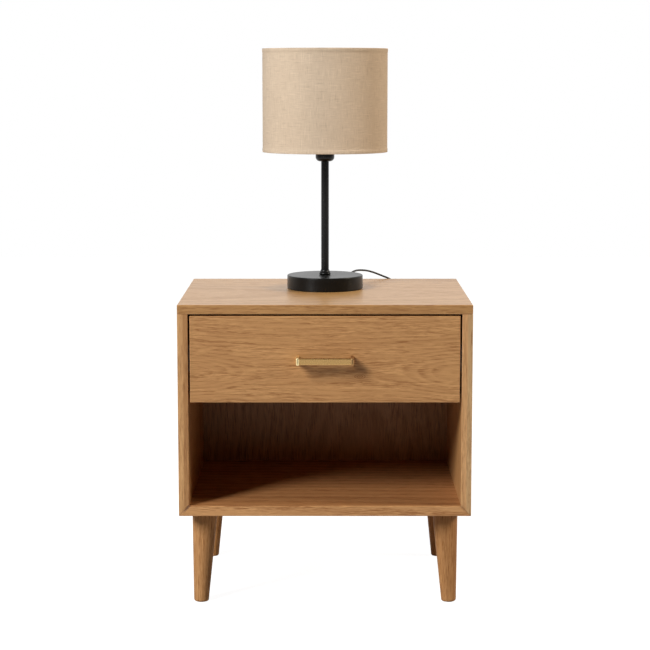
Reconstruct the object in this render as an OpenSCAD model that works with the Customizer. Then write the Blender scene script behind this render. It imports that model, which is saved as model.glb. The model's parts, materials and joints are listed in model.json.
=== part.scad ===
/* [Cabinet] */
// Width of the cabinet over its side panels
case_w = 500; // [420:5:600]
// Depth of the cabinet from front edge to rear edge
case_d = 410; // [390:5:440]
// Height of the cabinet without its legs
case_h = 364; // [350:1:420]
// Thickness of the top panel
top_t = 16; // [12:1:20]
// Thickness of the two side panels
side_t = 18; // [16:1:22]
// Thickness of the bottom panel
bottom_t = 18; // [16:1:22]
// Thickness of the panel under the drawer
divider_t = 12; // [10:1:16]
// Thickness of the back panel
back_t = 6; // [4:1:9]
// Distance of the back panel from the cabinet's rear edge
back_inset = 24; // [16:1:30]
// Depth of the groove that holds the back panel
back_groove = 7; // [4:1:9]
// Radius of the softened long edges of the boards
arris_r = 1.5; // [0.8:0.1:2.5]
// Diameter of the wooden dowels
dowel_d = 8; // [6:1:8]
// Length of the wooden dowels
dowel_l = 24; // [20:1:26]

/* [Legs] */
// Height of the cabinet's underside above the floor
leg_h = 163; // [120:1:220]
// Leg diameter at the cabinet
leg_top_d = 44; // [34:1:48]
// Leg diameter at the floor
leg_foot_d = 26; // [22:1:32]
// Radius of the rounded edge at the foot
leg_foot_r = 5; // [2:0.5:7]
// Distance of the foot's centre from the cabinet's side
foot_inset_x = 34; // [28:1:60]
// Distance of the foot's centre from the cabinet's front or rear
foot_inset_y = 49; // [40:1:80]
// How far the foot stands outward of the leg's top
leg_splay = 7.5; // [0:1:14]
// Diameter of the foot glide
glide_d = 16; // [12:1:20]
// Thickness of the foot glide below the wood
glide_t = 1; // [0.8:0.1:2]
// Diameter of the hanger bolt
bolt_d = 8; // [6:1:8]
// Depth of the hanger bolt in the leg
bolt_in_leg = 34; // [25:1:40]
// Outer diameter of the threaded insert
insert_d = 12; // [11:1:14]
// Length of the threaded insert
insert_l = 13; // [10:1:14]

/* [Drawer] */
// Height of the drawer front
front_h = 148; // [140:1:165]
// Thickness of the drawer front
front_t = 18; // [16:1:20]
// Visible gap round the drawer front
reveal = 3; // [2:0.5:4]
// Height of the drawer's sides
drawer_side_h = 108; // [90:1:115]
// Thickness of the drawer's sides and back
drawer_side_t = 12; // [10:1:15]
// Thickness of the drawer's bottom
drawer_bottom_t = 6; // [4:1:8]
// Height of the drawer's bottom above the sides' lower edge
drawer_bottom_lift = 8; // [6:1:12]
// Depth of the groove that holds the drawer's bottom
drawer_groove = 6; // [4:1:7]
// Air under the drawer's sides
drawer_under_gap = 4; // [3:1:8]
// Air behind the drawer and its runners
drawer_rear_gap = 12; // [8:1:20]
// How far the drawer pulls out
drawer_travel = 340; // [250:5:345]

/* [Runners] */
// Thickness of a closed runner
runner_t = 12.7; // [12.7:0.1:14]
// Height of the runner's cabinet member
runner_h = 45; // [44:0.5:48]
// Thickness of the runner's steel
runner_wall = 1.2; // [1:0.1:1.4]
// Diameter of the bearing balls
ball_d = 3.4; // [3:0.1:3.6]
// Running clearance at the balls
ball_gap = 0.3; // [0.3:0.05:0.4]
// Balls in each cage strip
ball_count = 4; // [3:1:6]
// Length of a ball cage
cage_l = 150; // [100:5:165]
// Diameter of the runner screws' shanks
runner_screw_d = 3.5; // [3:0.5:4]
// Length of the runner screws' shanks
runner_screw_l = 10; // [8:1:11]

/* [Handle] */
// Overall length of the handle
handle_l = 98; // [80:1:160]
// How far the handle stands out of the drawer front
handle_reach = 28; // [24:1:36]
// Height of the handle's bar
handle_bar_h = 11; // [8:0.5:14]
// Depth of the handle's bar
handle_bar_t = 9; // [7:0.5:12]
// Height of the handle's end posts
handle_post_h = 13; // [12:0.5:18]
// Width of the handle's end posts
handle_post_w = 6; // [6:0.5:9]
// Diameter of the handle screws
handle_screw_d = 4; // [3:0.5:4]
// Depth of the handle screws in the posts
handle_screw_in = 12; // [8:1:16]

/* [Lamp] */
// Distance of the lamp's axis behind the cabinet's front
lamp_setback = 250; // [180:5:280]
// Diameter of the lamp's base
base_d = 137; // [110:1:170]
// Height of the lamp's base
base_h = 25; // [24:1:32]
// Wall of the base's steel cover
base_wall = 1.8; // [1.2:0.1:2.4]
// Radius of the base cover's upper edge
base_edge_r = 1.6; // [0.8:0.1:2]
// Thickness of the felt pad
felt_t = 3; // [2:0.5:4]
// How far the felt stands out below the cover
felt_proud = 1; // [0.5:0.1:1.5]
// Diameter of the stem
stem_d = 14; // [13:0.5:18]
// Wall of the stem's tube
stem_wall = 1.4; // [1:0.1:1.5]
// Diameter of the collar round the stem's foot
collar_d = 21; // [18:0.5:26]
// Height of the collar
collar_h = 9; // [6:0.5:14]
// Outer diameter of the threaded pipe inside the stem
pipe_d = 9.6; // [9:0.1:10]
// Bore of the threaded pipe
pipe_bore = 7; // [6:0.1:7.2]
// Diameter of the socket cup
cup_d = 33.8; // [32:0.1:36]
// Height of the socket cup
cup_h = 36; // [30:1:44]
// Radius at the foot of the socket cup
cup_r = 5; // [3:0.5:8]
// Height of the socket cup's underside above the table top
cup_z = 230; // [180:1:300]
// Outer diameter of the lamp holder
holder_d = 31; // [30:0.1:31.2]
// Length of the lamp holder
holder_l = 48; // [44:1:52]
// Diameter of the bulb's screw cap
cap_d = 26.2; // [26:0.1:26.4]
// Largest diameter of the bulb
bulb_d = 60; // [45:1:70]
// Length of the bulb with its cap
bulb_l = 108; // [95:1:120]

/* [Shade] */
// Outer diameter of the shade
shade_d = 225; // [180:1:260]
// Height of the shade
shade_h = 184; // [140:1:220]
// How far the shade hangs below the rim of the socket cup
shade_drop = 19; // [14:1:26]
// Thickness of the lined shade fabric
fabric_t = 1; // [0.8:0.1:1.6]
// Diameter of the shade's ring wire
wire_d = 3.2; // [2.5:0.1:4]
// Thickness of the fitter ring and of the screwed ring's flange
fitter_t = 2; // [1.5:0.1:3]
// Arms of the shade's fitter
arm_count = 3; // [3:1:4]

/* [Cord] */
// Diameter of the cord
cord_d = 3.6; // [3.6:0.1:4]
// Length of the tapered strain relief
relief_l = 24; // [20:1:40]
// Direction in which the cord leaves the base
relief_turn = 65; // [60:1:70]
// Height of the cord's exit above the table top
relief_z = 12; // [9:0.5:12]
// Width of the cord switch
switch_w = 24; // [22:1:28]
// Thickness of the cord switch
switch_t = 14; // [13:0.5:16]
// Length of the cord switch
switch_l = 60; // [52:1:64]
// Angle through which the rocker tips
rocker_throw = 16; // [10:1:18]
// Width of the plug
plug_w = 35; // [30:1:35]
// Height of the plug
plug_h = 13; // [12:0.5:15]
// Length of the plug's body
plug_l = 30; // [26:1:36]

/* [Hidden] */
$fn = 64;

oak = [0.70, 0.52, 0.34];
oak_pale = [0.78, 0.66, 0.50];
brass = [0.66, 0.55, 0.34];
black = [0.13, 0.13, 0.13];
steel = [0.72, 0.73, 0.74];
zinc = [0.62, 0.63, 0.64];
linen = [0.80, 0.69, 0.56];

// Clearances: fasteners in their holes, panels in grooves, pieces that slide or turn.
hole_gap = 0.1;
groove_gap = 0.2;
run_gap = 0.3;
cut = 1;

// Levels and planes of the cabinet. The floor is z = 0 and the front faces -Y.
front_y = handle_reach - (case_d + handle_reach) / 2;
rear_y = front_y + case_d;
case_z = leg_h;
top_z = case_z + case_h;
inner_top_z = top_z - top_t;
inner_w = case_w - 2 * side_t;
inner_x = inner_w / 2;
side_h = case_h - top_t;
back_y = rear_y - back_inset - back_t;
front_z1 = inner_top_z - reveal;
front_z0 = front_z1 - front_h;
divider_z = front_z0 + reveal;
divider_y = front_y + front_t + reveal;

// The drawer's box hangs between its runners.
box_y = front_y + front_t;
box_z = divider_z + divider_t + drawer_under_gap;
box_rear_y = back_y - drawer_rear_gap;
box_l = box_rear_y - box_y;
box_w = inner_w - 2 * runner_t;
box_x = box_w / 2;
bottom_groove_z = box_z + drawer_bottom_lift;
handle_z = (front_z0 + front_z1) / 2;
runner_z = box_z + drawer_side_h / 2;

// Heights of the runner's channels, from the outside to the inside.
track = ball_d + 2 * ball_gap;
cabinet_track_h = runner_h / 2 - runner_wall;
middle_h = cabinet_track_h - track;
middle_track_h = middle_h - runner_wall;
drawer_member_h = middle_track_h - track;
middle_web_u = 0.36 * runner_t;
cage_t = 1;
cage_y = box_y + (box_l - cage_l) / 2;

// Legs: the top stands inward of the foot.
leg_tilt = atan(leg_splay / leg_h);
foot_x = case_w / 2 - foot_inset_x;
foot_y = [front_y + foot_inset_y, rear_y - foot_inset_y];
dowel_in_y = 42;
screw_in_y = 32;
drawer_dowel_low = 32;
drawer_dowel_high = 20;
glide_pin_d = 2.5;
glide_pin_l = 12;
insert_depth = insert_l + 1;

// Lamp: everything is stacked along its axis, from the table top upward.
lamp_y = front_y + lamp_setback;
base_top_z = top_z + base_h;
weight_z = top_z + felt_t;
weight_h = base_h - felt_t - base_wall;
weight_d = base_d - 2 * base_wall - 2 * run_gap;
nut_d = 17;
nut_h = 5;
nut_pocket_h = nut_h + 2;
cup_bottom_z = top_z + cup_z;
cup_wall = 1;
cup_top_z = cup_bottom_z + cup_h;
holder_z = cup_bottom_z + cup_wall;
holder_floor = 9;
sleeve_wall = 0.5;
sleeve_bore = cap_d + 2 * run_gap;
sleeve_d = sleeve_bore + 2 * sleeve_wall;
sleeve_l = 24;
contact_t = 2;
cap_l = 25;
cap_z = holder_z + holder_floor + contact_t + 1.6;
glass_z = cap_z + cap_l;
bulb_top_z = cap_z + bulb_l;
pipe_z0 = weight_z + 1;
pipe_z1 = holder_z + holder_floor - 3;
wire_lead_d = 2;

// Shade: the fitter ring rests on the rim of the socket cup.
fitter_z = cup_top_z;
ring_h = 8;
ring_flange_d = cup_d + 7;
fitter_bore = holder_d + 2 * run_gap;
fitter_d = cup_d + 8;
shade_z = cup_top_z - shade_drop;
shade_top_z = shade_z + shade_h;
wire_ring_r = shade_d / 2 - fabric_t - wire_d / 2;
arm_r0 = fitter_d / 2 - 2;
arm_t = 3;

// Cord. The exit lies on the base's rim. The routes' points are chosen by hand as [x, y, z],
// with y counted from the cabinet's front edge and z from the floor.
relief_dir = [cos(relief_turn), sin(relief_turn), 0];
relief_exit = [0, lamp_y, top_z + relief_z] + (base_d / 2) * relief_dir;
relief_tip = relief_exit + relief_l * relief_dir;
relief_d0 = 8;
relief_d1 = 5.2;
upper_route = [
    [45, 346, 541], [51, 358, 544.8], [59, 371, 546.6], [68, 383, 546], [79, 394, 544],
    [90, 402.5, 540.4], [101, 408.5, 535.8], [112, 412.5, 531], [123, 415.5, 526],
    [134, 417.5, 518], [145, 418.5, 506.5], [155, 419, 491], [164, 419.5, 473],
    [172, 420, 450], [179, 420, 425], [185, 420, 400], [188.8, 420, 382], [190, 420, 366]
];
lower_route = [
    [190, 420, 294], [191.2, 420, 276], [194, 420, 250], [198, 420, 220],
    [203, 420, 185], [207, 420, 150], [210, 420, 115], [211, 420, 85], [211, 420, 55],
    [211, 421, 36], [211, 424.6, 21], [211, 431.6, 10], [211, 441, 4.4], [211, 450, 3]
];
hank_start = [211, 458.4, 3];
rings_per_point = 2;
switch_at = [190, 420, 330];
switch_x = switch_at[0];
switch_y = front_y + switch_at[1];
switch_z = switch_at[2];
switch_wall = 1.8;
rocker_w = 9.4;
rocker_l = 17;
rocker_t = 6;
rocker_pin_d = 2.4;
rocker_slot_gap = 1.2;

// Hank: loops that spiral in on the lower layer and out again on the upper one. Each loop is
// two straight runs joined by half circles, and the runs draw in at the waist under the tie.
run_l = 70;
fold_r = 3 * cord_d + 0.1;
hank_gap = 0.6;
waist_draw = 0.12;
loop_step = (cord_d + hank_gap) / (1 - waist_draw);
layer_step = cord_d + hank_gap;
hank_loops = 2;
loop_rings = 24;
run_rings = 4;
fold_rings = 8;
tie_t = 0.9;
tie_w = 8;
outer_r = fold_r + hank_loops * loop_step;
hank_x0 = hank_start[0];
hank_y0 = front_y + hank_start[1] + cord_d;
hank_z0 = hank_start[2];
hank_x = hank_x0 + outer_r;
hank_y1 = hank_y0 + run_l;
hank_top_z = hank_z0 + layer_step;

// The tail swings from the outer run to the middle of the hank, where the plug lies.
tail_start = 8;
tail_swing = 46;
tail_l = 58;
plug_y = hank_y1 + tail_l;
pin_d = 4;
pin_l = 19;
pin_pitch = 18.6;

// ---- Shapes used more than once ----

// A rectangle with round corners, centred.
module round_rect(w, h, r) {
    square([w - 2 * r, h], center = true);
    square([w, h - 2 * r], center = true);
    for (x = [-1, 1], y = [-1, 1])
        translate([x * (w / 2 - r), y * (h / 2 - r)])
            circle(r, $fn = 32);
}

// A board that runs along X with its front lower edge at [y, z] and its long edges softened.
module board_x(w, d, t, y, z, r = arris_r) {
    translate([-w / 2, y, z])
        rotate([90, 0, 90])
            linear_extrude(w)
                translate([d / 2, t / 2])
                    round_rect(d, t, r);
}

// An upright board from height z, as thick along X as w.
module board_z(w, d, h, x, y, z, r = arris_r) {
    translate([x + w / 2, y + d / 2, z])
        linear_extrude(h)
            round_rect(w, d, r);
}

// A box from its lowest corner to its highest.
module block(low, high) {
    translate(low)
        cube(high - low);
}

// Copies its children on the right and, mirrored, on the left.
module both_sides() {
    children();
    mirror([1, 0, 0])
        children();
}

// A cylinder from point a towards +Y.
module rod_y(d, l) {
    rotate([-90, 0, 0])
        cylinder(h = l, d = d);
}

// A cylinder towards +X.
module rod_x(d, l) {
    rotate([0, 90, 0])
        cylinder(h = l, d = d);
}

// Moves its children to the lamp's axis at height z.
module at_lamp(z) {
    translate([0, lamp_y, z])
        children();
}

module tube(d, bore, h) {
    difference() {
        cylinder(h = h, d = d);
        translate([0, 0, -cut])
            cylinder(h = h + 2 * cut, d = bore);
    }
}

// Points of an arc about c, from angle a0 to a1.
function arc(c, r, a0, a1, steps = 8) =
    [for (i = [0:steps]) c + r * [cos(a0 + (a1 - a0) * i / steps), sin(a0 + (a1 - a0) * i / steps)]];

// ---- Cabinet ----

// Sides and bottom meet at a mitre that runs from the inner corner to the outer one.
module mitre_outline() {
    translate([0, case_z + case_h / 2])
        round_rect(case_w, case_h, arris_r);
}

module back_groove_cut() {
    block([-inner_x - back_groove, back_y - groove_gap, case_z + bottom_t - back_groove],
        [inner_x + back_groove, back_y + back_t + groove_gap, inner_top_z + back_groove]);
}

// Rows of dowels between the sides and the panels that they carry.
dowel_ys = [front_y + dowel_in_y, front_y + case_d / 2, rear_y - dowel_in_y];
divider_dowel_ys = [divider_y + dowel_in_y, back_y - dowel_in_y];
dowel_in_top = top_t - 5;
dowel_in_side = side_t - 6;

module carcase_dowel_set(d, extra) {
    both_sides() {
        for (y = dowel_ys)
            translate([inner_x + side_t / 2, y, inner_top_z - (dowel_l - dowel_in_top) - extra])
                cylinder(h = dowel_l + 2 * extra, d = d);
        for (y = divider_dowel_ys)
            translate([inner_x - (dowel_l - dowel_in_side) - extra, y, divider_z + divider_t / 2])
                rod_x(d, dowel_l + 2 * extra);
    }
}

module carcase_dowels() {
    color(oak_pale)
        carcase_dowel_set(dowel_d, 0);
}

module dowel_holes() {
    carcase_dowel_set(dowel_d + 2 * hole_gap, hole_gap);
}

module top_panel() {
    color(oak)
        difference() {
            board_x(case_w, case_d, top_t, front_y, inner_top_z);
            back_groove_cut();
            dowel_holes();
        }
}

module side_panel() {
    difference() {
        intersection() {
            board_z(side_t, case_d, side_h, inner_x, front_y, case_z);
            translate([0, rear_y + cut, 0])
                rotate([90, 0, 0])
                    linear_extrude(case_d + 2 * cut)
                        intersection() {
                            mitre_outline();
                            polygon([
                                [inner_x, case_z + bottom_t], [case_w / 2, case_z],
                                [case_w / 2, inner_top_z], [inner_x, inner_top_z]
                            ]);
                        }
        }
        back_groove_cut();
        dowel_holes();
        for (y = runner_screw_ys)
            translate([inner_x - cut, y, runner_z])
                rod_x(runner_screw_d + 2 * hole_gap, runner_screw_l + cut);
    }
}

module right_side_panel() {
    color(oak)
        side_panel();
}

module left_side_panel() {
    color(oak)
        mirror([1, 0, 0])
            side_panel();
}

module bottom_panel() {
    color(oak)
        difference() {
            intersection() {
                board_x(case_w, case_d, bottom_t, front_y, case_z);
                translate([0, rear_y + cut, 0])
                    rotate([90, 0, 0])
                        linear_extrude(case_d + 2 * cut)
                            intersection() {
                                mitre_outline();
                                polygon([
                                    [-case_w / 2, case_z], [case_w / 2, case_z],
                                    [inner_x, case_z + bottom_t], [-inner_x, case_z + bottom_t]
                                ]);
                            }
            }
            back_groove_cut();
            each_leg()
                translate([0, 0, leg_axis_l])
                    cylinder(h = insert_depth + insert_seat, d = insert_d + 2 * hole_gap);
        }
}

module divider_panel() {
    color(oak)
        difference() {
            board_x(inner_w, back_y - divider_y, divider_t, divider_y, divider_z);
            dowel_holes();
        }
}

module back_panel() {
    color(oak)
        block([-inner_x - back_groove + groove_gap, back_y,
            case_z + bottom_t - back_groove + groove_gap],
            [inner_x + back_groove - groove_gap, back_y + back_t,
            inner_top_z + back_groove - groove_gap]);
}

// ---- Legs ----

leg_axis_l = (leg_h - glide_t) / cos(leg_tilt);
insert_seat = 0.6;

// Places its children at each foot with +Z along the leg's axis.
module each_leg() {
    for (side = [-1, 1], row = [0, 1])
        at_foot(side, row)
            children();
}

module at_foot(side, row) {
    lean = row == 0 ? -1 : 1;
    translate([side * foot_x, foot_y[row], glide_t])
        rotate([lean * leg_tilt, -side * leg_tilt, 0])
            children();
}

module leg(side, row) {
    color(oak)
        difference() {
            intersection() {
                at_foot(side, row)
                    rotate_extrude()
                        polygon(concat(
                            [[0, -1.5]],
                            arc([leg_foot_d / 2 - leg_foot_r, leg_foot_r - 1.5], leg_foot_r, -90, 0),
                            [[leg_top_d / 2 + 0.4, leg_axis_l + 6], [0, leg_axis_l + 6]]));
                translate([side * foot_x - leg_top_d, foot_y[row] - leg_top_d, glide_t])
                    cube([2 * leg_top_d, 2 * leg_top_d, leg_h - glide_t]);
            }
            at_foot(side, row)
                translate([0, 0, leg_axis_l - bolt_in_leg - 1])
                    cylinder(h = bolt_in_leg + 8, d = bolt_d + 2 * hole_gap);
            translate([side * foot_x, foot_y[row], glide_t - cut])
                cylinder(h = glide_pin_l + cut + hole_gap, d = glide_pin_d + 2 * hole_gap);
        }
}

module leg_front_left() {
    leg(-1, 0);
}

module leg_front_right() {
    leg(1, 0);
}

module leg_rear_left() {
    leg(-1, 1);
}

module leg_rear_right() {
    leg(1, 1);
}

module leg_hanger_bolts() {
    color(zinc)
        each_leg()
            translate([0, 0, leg_axis_l - bolt_in_leg])
                cylinder(h = bolt_in_leg + insert_l, d = bolt_d);
}

module leg_insert_nuts() {
    color(zinc)
        each_leg()
            translate([0, 0, leg_axis_l + insert_seat])
                tube(insert_d, bolt_d + 2 * hole_gap, insert_l);
}

module foot_glides() {
    color("dimgray")
        for (side = [-1, 1], row = [0, 1])
            translate([side * foot_x, foot_y[row], 0]) {
                cylinder(h = glide_t, d = glide_d);
                cylinder(h = glide_t + glide_pin_l, d = glide_pin_d);
            }
}

// ---- Runners ----

runner_y0 = box_y + 2;
member_l = box_l - 2;
runner_screw_ys = [runner_y0 + screw_in_y, runner_y0 + member_l - 2 * screw_in_y];
screw_head_d = 2 * runner_screw_d;
screw_head_h = 1.8;

// Extrudes an outline [u, v] along the runner, where u leads from the cabinet's side
// towards the drawer and v is up, and draws it on both sides.
module runner_profile(y, l) {
    both_sides()
        translate([inner_x, y + l, runner_z])
            rotate([90, 0, 0])
                linear_extrude(l)
                    mirror([1, 0])
                        children();
}

// Web and two flanges of a channel, given its web's span, its flanges' span and their height.
module channel(web0, web1, flange0, flange1, half_h) {
    polygon([
        [web0, -half_h], [web1, -half_h], [web1, half_h], [web0, half_h]
    ]);
    for (side = [-1, 1])
        translate([flange0, side * (half_h - runner_wall / 2) - runner_wall / 2])
            square([flange1 - flange0, runner_wall]);
}

module runner_cabinet_members() {
    color(steel)
        difference() {
            runner_profile(runner_y0, member_l)
                channel(0, runner_wall, 0, 0.8 * runner_t, runner_h / 2);
            cabinet_screw_shanks(runner_screw_d + 2 * hole_gap, cut);
        }
}

module runner_middle_members() {
    color(zinc)
        runner_profile(runner_y0, member_l)
            channel(middle_web_u, middle_web_u + runner_wall, 0.22 * runner_t,
                0.86 * runner_t, middle_h);
}

module runner_drawer_members() {
    color(steel)
        difference() {
            runner_profile(runner_y0, member_l)
                channel(runner_t - runner_wall, runner_t, 0.55 * runner_t, runner_t,
                    drawer_member_h);
            drawer_screw_shanks(runner_screw_d + 2 * hole_gap, cut);
        }
}

module cabinet_screw_shanks(d, extra) {
    both_sides()
        for (y = runner_screw_ys)
            translate([inner_x - runner_wall - extra, y, runner_z])
                rod_x(d, runner_screw_l + extra);
}

module runner_cabinet_screws() {
    color(zinc) {
        cabinet_screw_shanks(runner_screw_d, 0);
        both_sides()
            for (y = runner_screw_ys)
                translate([inner_x - runner_wall - screw_head_h, y, runner_z])
                    rod_x(screw_head_d, screw_head_h);
    }
}

module drawer_screw_shanks(d, extra) {
    both_sides()
        for (y = runner_screw_ys)
            translate([box_x + runner_wall - runner_screw_l, y, runner_z])
                rod_x(d, runner_screw_l + extra);
}

module runner_drawer_screws() {
    color(zinc) {
        drawer_screw_shanks(runner_screw_d, 0);
        both_sides()
            for (y = runner_screw_ys)
                translate([box_x + runner_wall, y, runner_z])
                    rod_x(screw_head_d, screw_head_h);
    }
}

// Places its children at every ball of one pair of tracks at distance u and height v.
module each_ball(u, v) {
    both_sides()
        for (side = [-1, 1], i = [0:ball_count - 1])
            translate([inner_x - u, cage_y + cage_l * (i + 0.5) / ball_count,
                runner_z + side * v])
                children();
}

outer_ball_u = 0.49 * runner_t;
outer_ball_v = (cabinet_track_h + middle_h) / 2;
inner_ball_u = 0.72 * runner_t;
inner_ball_v = (middle_track_h + drawer_member_h) / 2;

module ball_cage(u, v, w) {
    color(steel)
        difference() {
            runner_profile(cage_y, cage_l)
                for (side = [-1, 1])
                    translate([u - w / 2, side * v - cage_t / 2])
                        square([w, cage_t]);
            each_ball(u, v)
                translate([0, 0, -cut])
                    cylinder(h = 2 * cut, d = ball_d + 2 * hole_gap, $fn = 32);
        }
}

module bearing_balls(u, v) {
    color("silver")
        each_ball(u, v)
            sphere(d = ball_d, $fn = 20);
}

module outer_ball_cages() {
    ball_cage(outer_ball_u, outer_ball_v, 0.42 * runner_t);
}

module outer_bearing_balls() {
    bearing_balls(outer_ball_u, outer_ball_v);
}

module inner_ball_cages() {
    ball_cage(inner_ball_u, inner_ball_v, 0.33 * runner_t);
}

module inner_bearing_balls() {
    bearing_balls(inner_ball_u, inner_ball_v);
}

// ---- Drawer ----

drawer_dowel_zs = [box_z + drawer_dowel_low, box_z + drawer_side_h - drawer_dowel_high];
dowel_in_front = front_t - 8;
dowel_in_drawer_side = drawer_side_t - 4;
box_inner_x = box_x - drawer_side_t;
back_board_z = bottom_groove_z + drawer_bottom_t + groove_gap;

module drawer_dowel_set(d, extra) {
    both_sides()
        for (z = drawer_dowel_zs) {
            translate([box_x - drawer_side_t / 2, box_y - dowel_in_front - extra, z])
                rod_y(d, dowel_l + 2 * extra);
            translate([box_inner_x - (dowel_l - dowel_in_drawer_side) - extra,
                box_rear_y - drawer_side_t / 2, z])
                rod_x(d, dowel_l + 2 * extra);
        }
}

module drawer_dowels() {
    color(oak_pale)
        drawer_dowel_set(dowel_d, 0);
}

module drawer_dowel_holes() {
    drawer_dowel_set(dowel_d + 2 * hole_gap, hole_gap);
}

// The groove that runs round the drawer for its bottom.
module drawer_groove_cut() {
    block([-box_inner_x - drawer_groove, box_y - drawer_groove, bottom_groove_z - groove_gap],
        [box_inner_x + drawer_groove, box_rear_y + cut,
        bottom_groove_z + drawer_bottom_t + groove_gap]);
}

module handle_screw_holes(d) {
    for (side = [-1, 1])
        translate([side * handle_post_x, front_y - handle_screw_in, handle_z])
            rod_y(d, handle_screw_in + front_t + cut);
}

module drawer_front() {
    color(oak)
        difference() {
            board_x(inner_w - 2 * reveal, front_t, front_h, front_y, front_z0);
            drawer_groove_cut();
            drawer_dowel_holes();
            handle_screw_holes(handle_screw_d + 2 * run_gap);
        }
}

module drawer_side() {
    difference() {
        translate([box_x - drawer_side_t / 2, box_rear_y, box_z + drawer_side_h / 2])
            rotate([90, 0, 0])
                linear_extrude(box_l)
                    round_rect(drawer_side_t, drawer_side_h, arris_r);
        drawer_groove_cut();
        drawer_dowel_holes();
        drawer_screw_shanks(runner_screw_d + 2 * hole_gap, cut);
    }
}

module drawer_right_side() {
    color(oak_pale)
        drawer_side();
}

module drawer_left_side() {
    color(oak_pale)
        mirror([1, 0, 0])
            drawer_side();
}

module drawer_back() {
    color(oak_pale)
        difference() {
            board_x(2 * box_inner_x, drawer_side_t, box_z + drawer_side_h - 6 - back_board_z,
                box_rear_y - drawer_side_t, back_board_z);
            drawer_dowel_holes();
        }
}

module drawer_bottom() {
    color(oak_pale)
        block([-box_inner_x - drawer_groove + groove_gap, box_y - drawer_groove + groove_gap,
            bottom_groove_z],
            [box_inner_x + drawer_groove - groove_gap, box_rear_y,
            bottom_groove_z + drawer_bottom_t]);
}

handle_post_x = (handle_l - handle_post_w) / 2;
handle_y = front_y - handle_reach;
handle_bar_set = 0.8;

module drawer_handle() {
    color(brass)
        difference() {
            union() {
                for (side = [-1, 1])
                    translate([side * handle_post_x, front_y, handle_z])
                        rotate([90, 0, 0])
                            linear_extrude(handle_reach)
                                round_rect(handle_post_w, handle_post_h, 0.8);
                board_x(handle_l - handle_post_w, handle_bar_t, handle_bar_h,
                    handle_y + handle_bar_set, handle_z - handle_bar_h / 2, 1);
            }
            handle_screw_holes(handle_screw_d + 2 * hole_gap);
        }
}

module handle_screws() {
    color(zinc)
        for (side = [-1, 1])
            translate([side * handle_post_x, 0, handle_z]) {
                translate([0, front_y - handle_screw_in + 1, 0])
                    rod_y(handle_screw_d, handle_screw_in + front_t - 1);
                translate([0, front_y + front_t, 0])
                    rod_y(2.2 * handle_screw_d, 2.4);
            }
}

// ---- Lamp ----

nut_z = top_z + relief_z + cord_d / 2 + 1.2;
cable_slot_w = 11;
cable_slot_top = relief_z + 6;
relief_neck_d = 5.8;

// Turns its children so that +X leads along the cord's way out of the base.
module toward_exit() {
    translate([0, lamp_y, top_z + relief_z])
        rotate([0, 0, relief_turn])
            children();
}

module lamp_base_cover() {
    r = base_d / 2;
    inner_r = r - base_wall;
    color(black)
        difference() {
            at_lamp(top_z)
                rotate_extrude($fn = 128)
                    polygon(concat(
                        [[inner_r, felt_proud], [r, felt_proud]],
                        arc([r - base_edge_r, base_h - base_edge_r], base_edge_r, 0, 90),
                        [[pipe_d / 2 + run_gap, base_h],
                        [pipe_d / 2 + run_gap, base_h - base_wall],
                        [inner_r, base_h - base_wall]]));
            toward_exit()
                translate([inner_r - cut, 0, 0])
                    rod_x(relief_neck_d + 2 * hole_gap, base_wall + 2 * cut);
        }
}

module lamp_base_weight() {
    color("dimgray")
        difference() {
            at_lamp(weight_z)
                cylinder(h = weight_h, d = weight_d);
            at_lamp(weight_z - cut)
                cylinder(h = weight_h + 2 * cut, d = pipe_d + 2 * run_gap);
            at_lamp(weight_z - cut)
                cylinder(h = nut_z + nut_h - weight_z + cut, d = nut_d + 4);
            toward_exit()
                translate([0, -cable_slot_w / 2, felt_t - relief_z - cut])
                    cube([base_d, cable_slot_w, cable_slot_top - felt_t + cut]);
        }
}

module lamp_base_felt() {
    color("darkslategray")
        at_lamp(top_z)
            cylinder(h = felt_t, d = weight_d);
}

module lamp_base_nut() {
    color(zinc)
        difference() {
            at_lamp(nut_z)
                cylinder(h = nut_h, d = nut_d, $fn = 6);
            at_lamp(nut_z - cut)
                cylinder(h = nut_h + 2 * cut, d = pipe_d + 2 * hole_gap);
        }
}

module lamp_pipe() {
    color(zinc)
        at_lamp(nut_z - 0.5)
            tube(pipe_d, pipe_bore, pipe_z1 - nut_z + 0.5);
}

module lamp_stem() {
    color(black)
        at_lamp(base_top_z)
            tube(stem_d, stem_d - 2 * stem_wall, cup_bottom_z - base_top_z);
}

module lamp_collar() {
    bead_r = 2.2;
    color(black)
        at_lamp(base_top_z)
            rotate_extrude()
                polygon(concat(
                    [[stem_d / 2 + hole_gap, 0], [collar_d / 2 - 0.6, 0]],
                    arc([collar_d / 2 - bead_r, bead_r], bead_r, -60, 75),
                    [[stem_d / 2 + 1.4, 2 * bead_r + 1], [stem_d / 2 + 0.7, collar_h],
                    [stem_d / 2 + hole_gap, collar_h]]));
}

module socket_cup() {
    r = cup_d / 2;
    color(black)
        at_lamp(cup_bottom_z)
            rotate_extrude($fn = 96)
                polygon(concat(
                    [[pipe_d / 2 + run_gap, 0]],
                    arc([r - cup_r, cup_r], cup_r, -90, 0),
                    [[r, cup_h], [r - cup_wall, cup_h]],
                    arc([r - cup_r, cup_r], cup_r - cup_wall, 0, -90),
                    [[pipe_d / 2 + run_gap, cup_wall]]));
}

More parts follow.
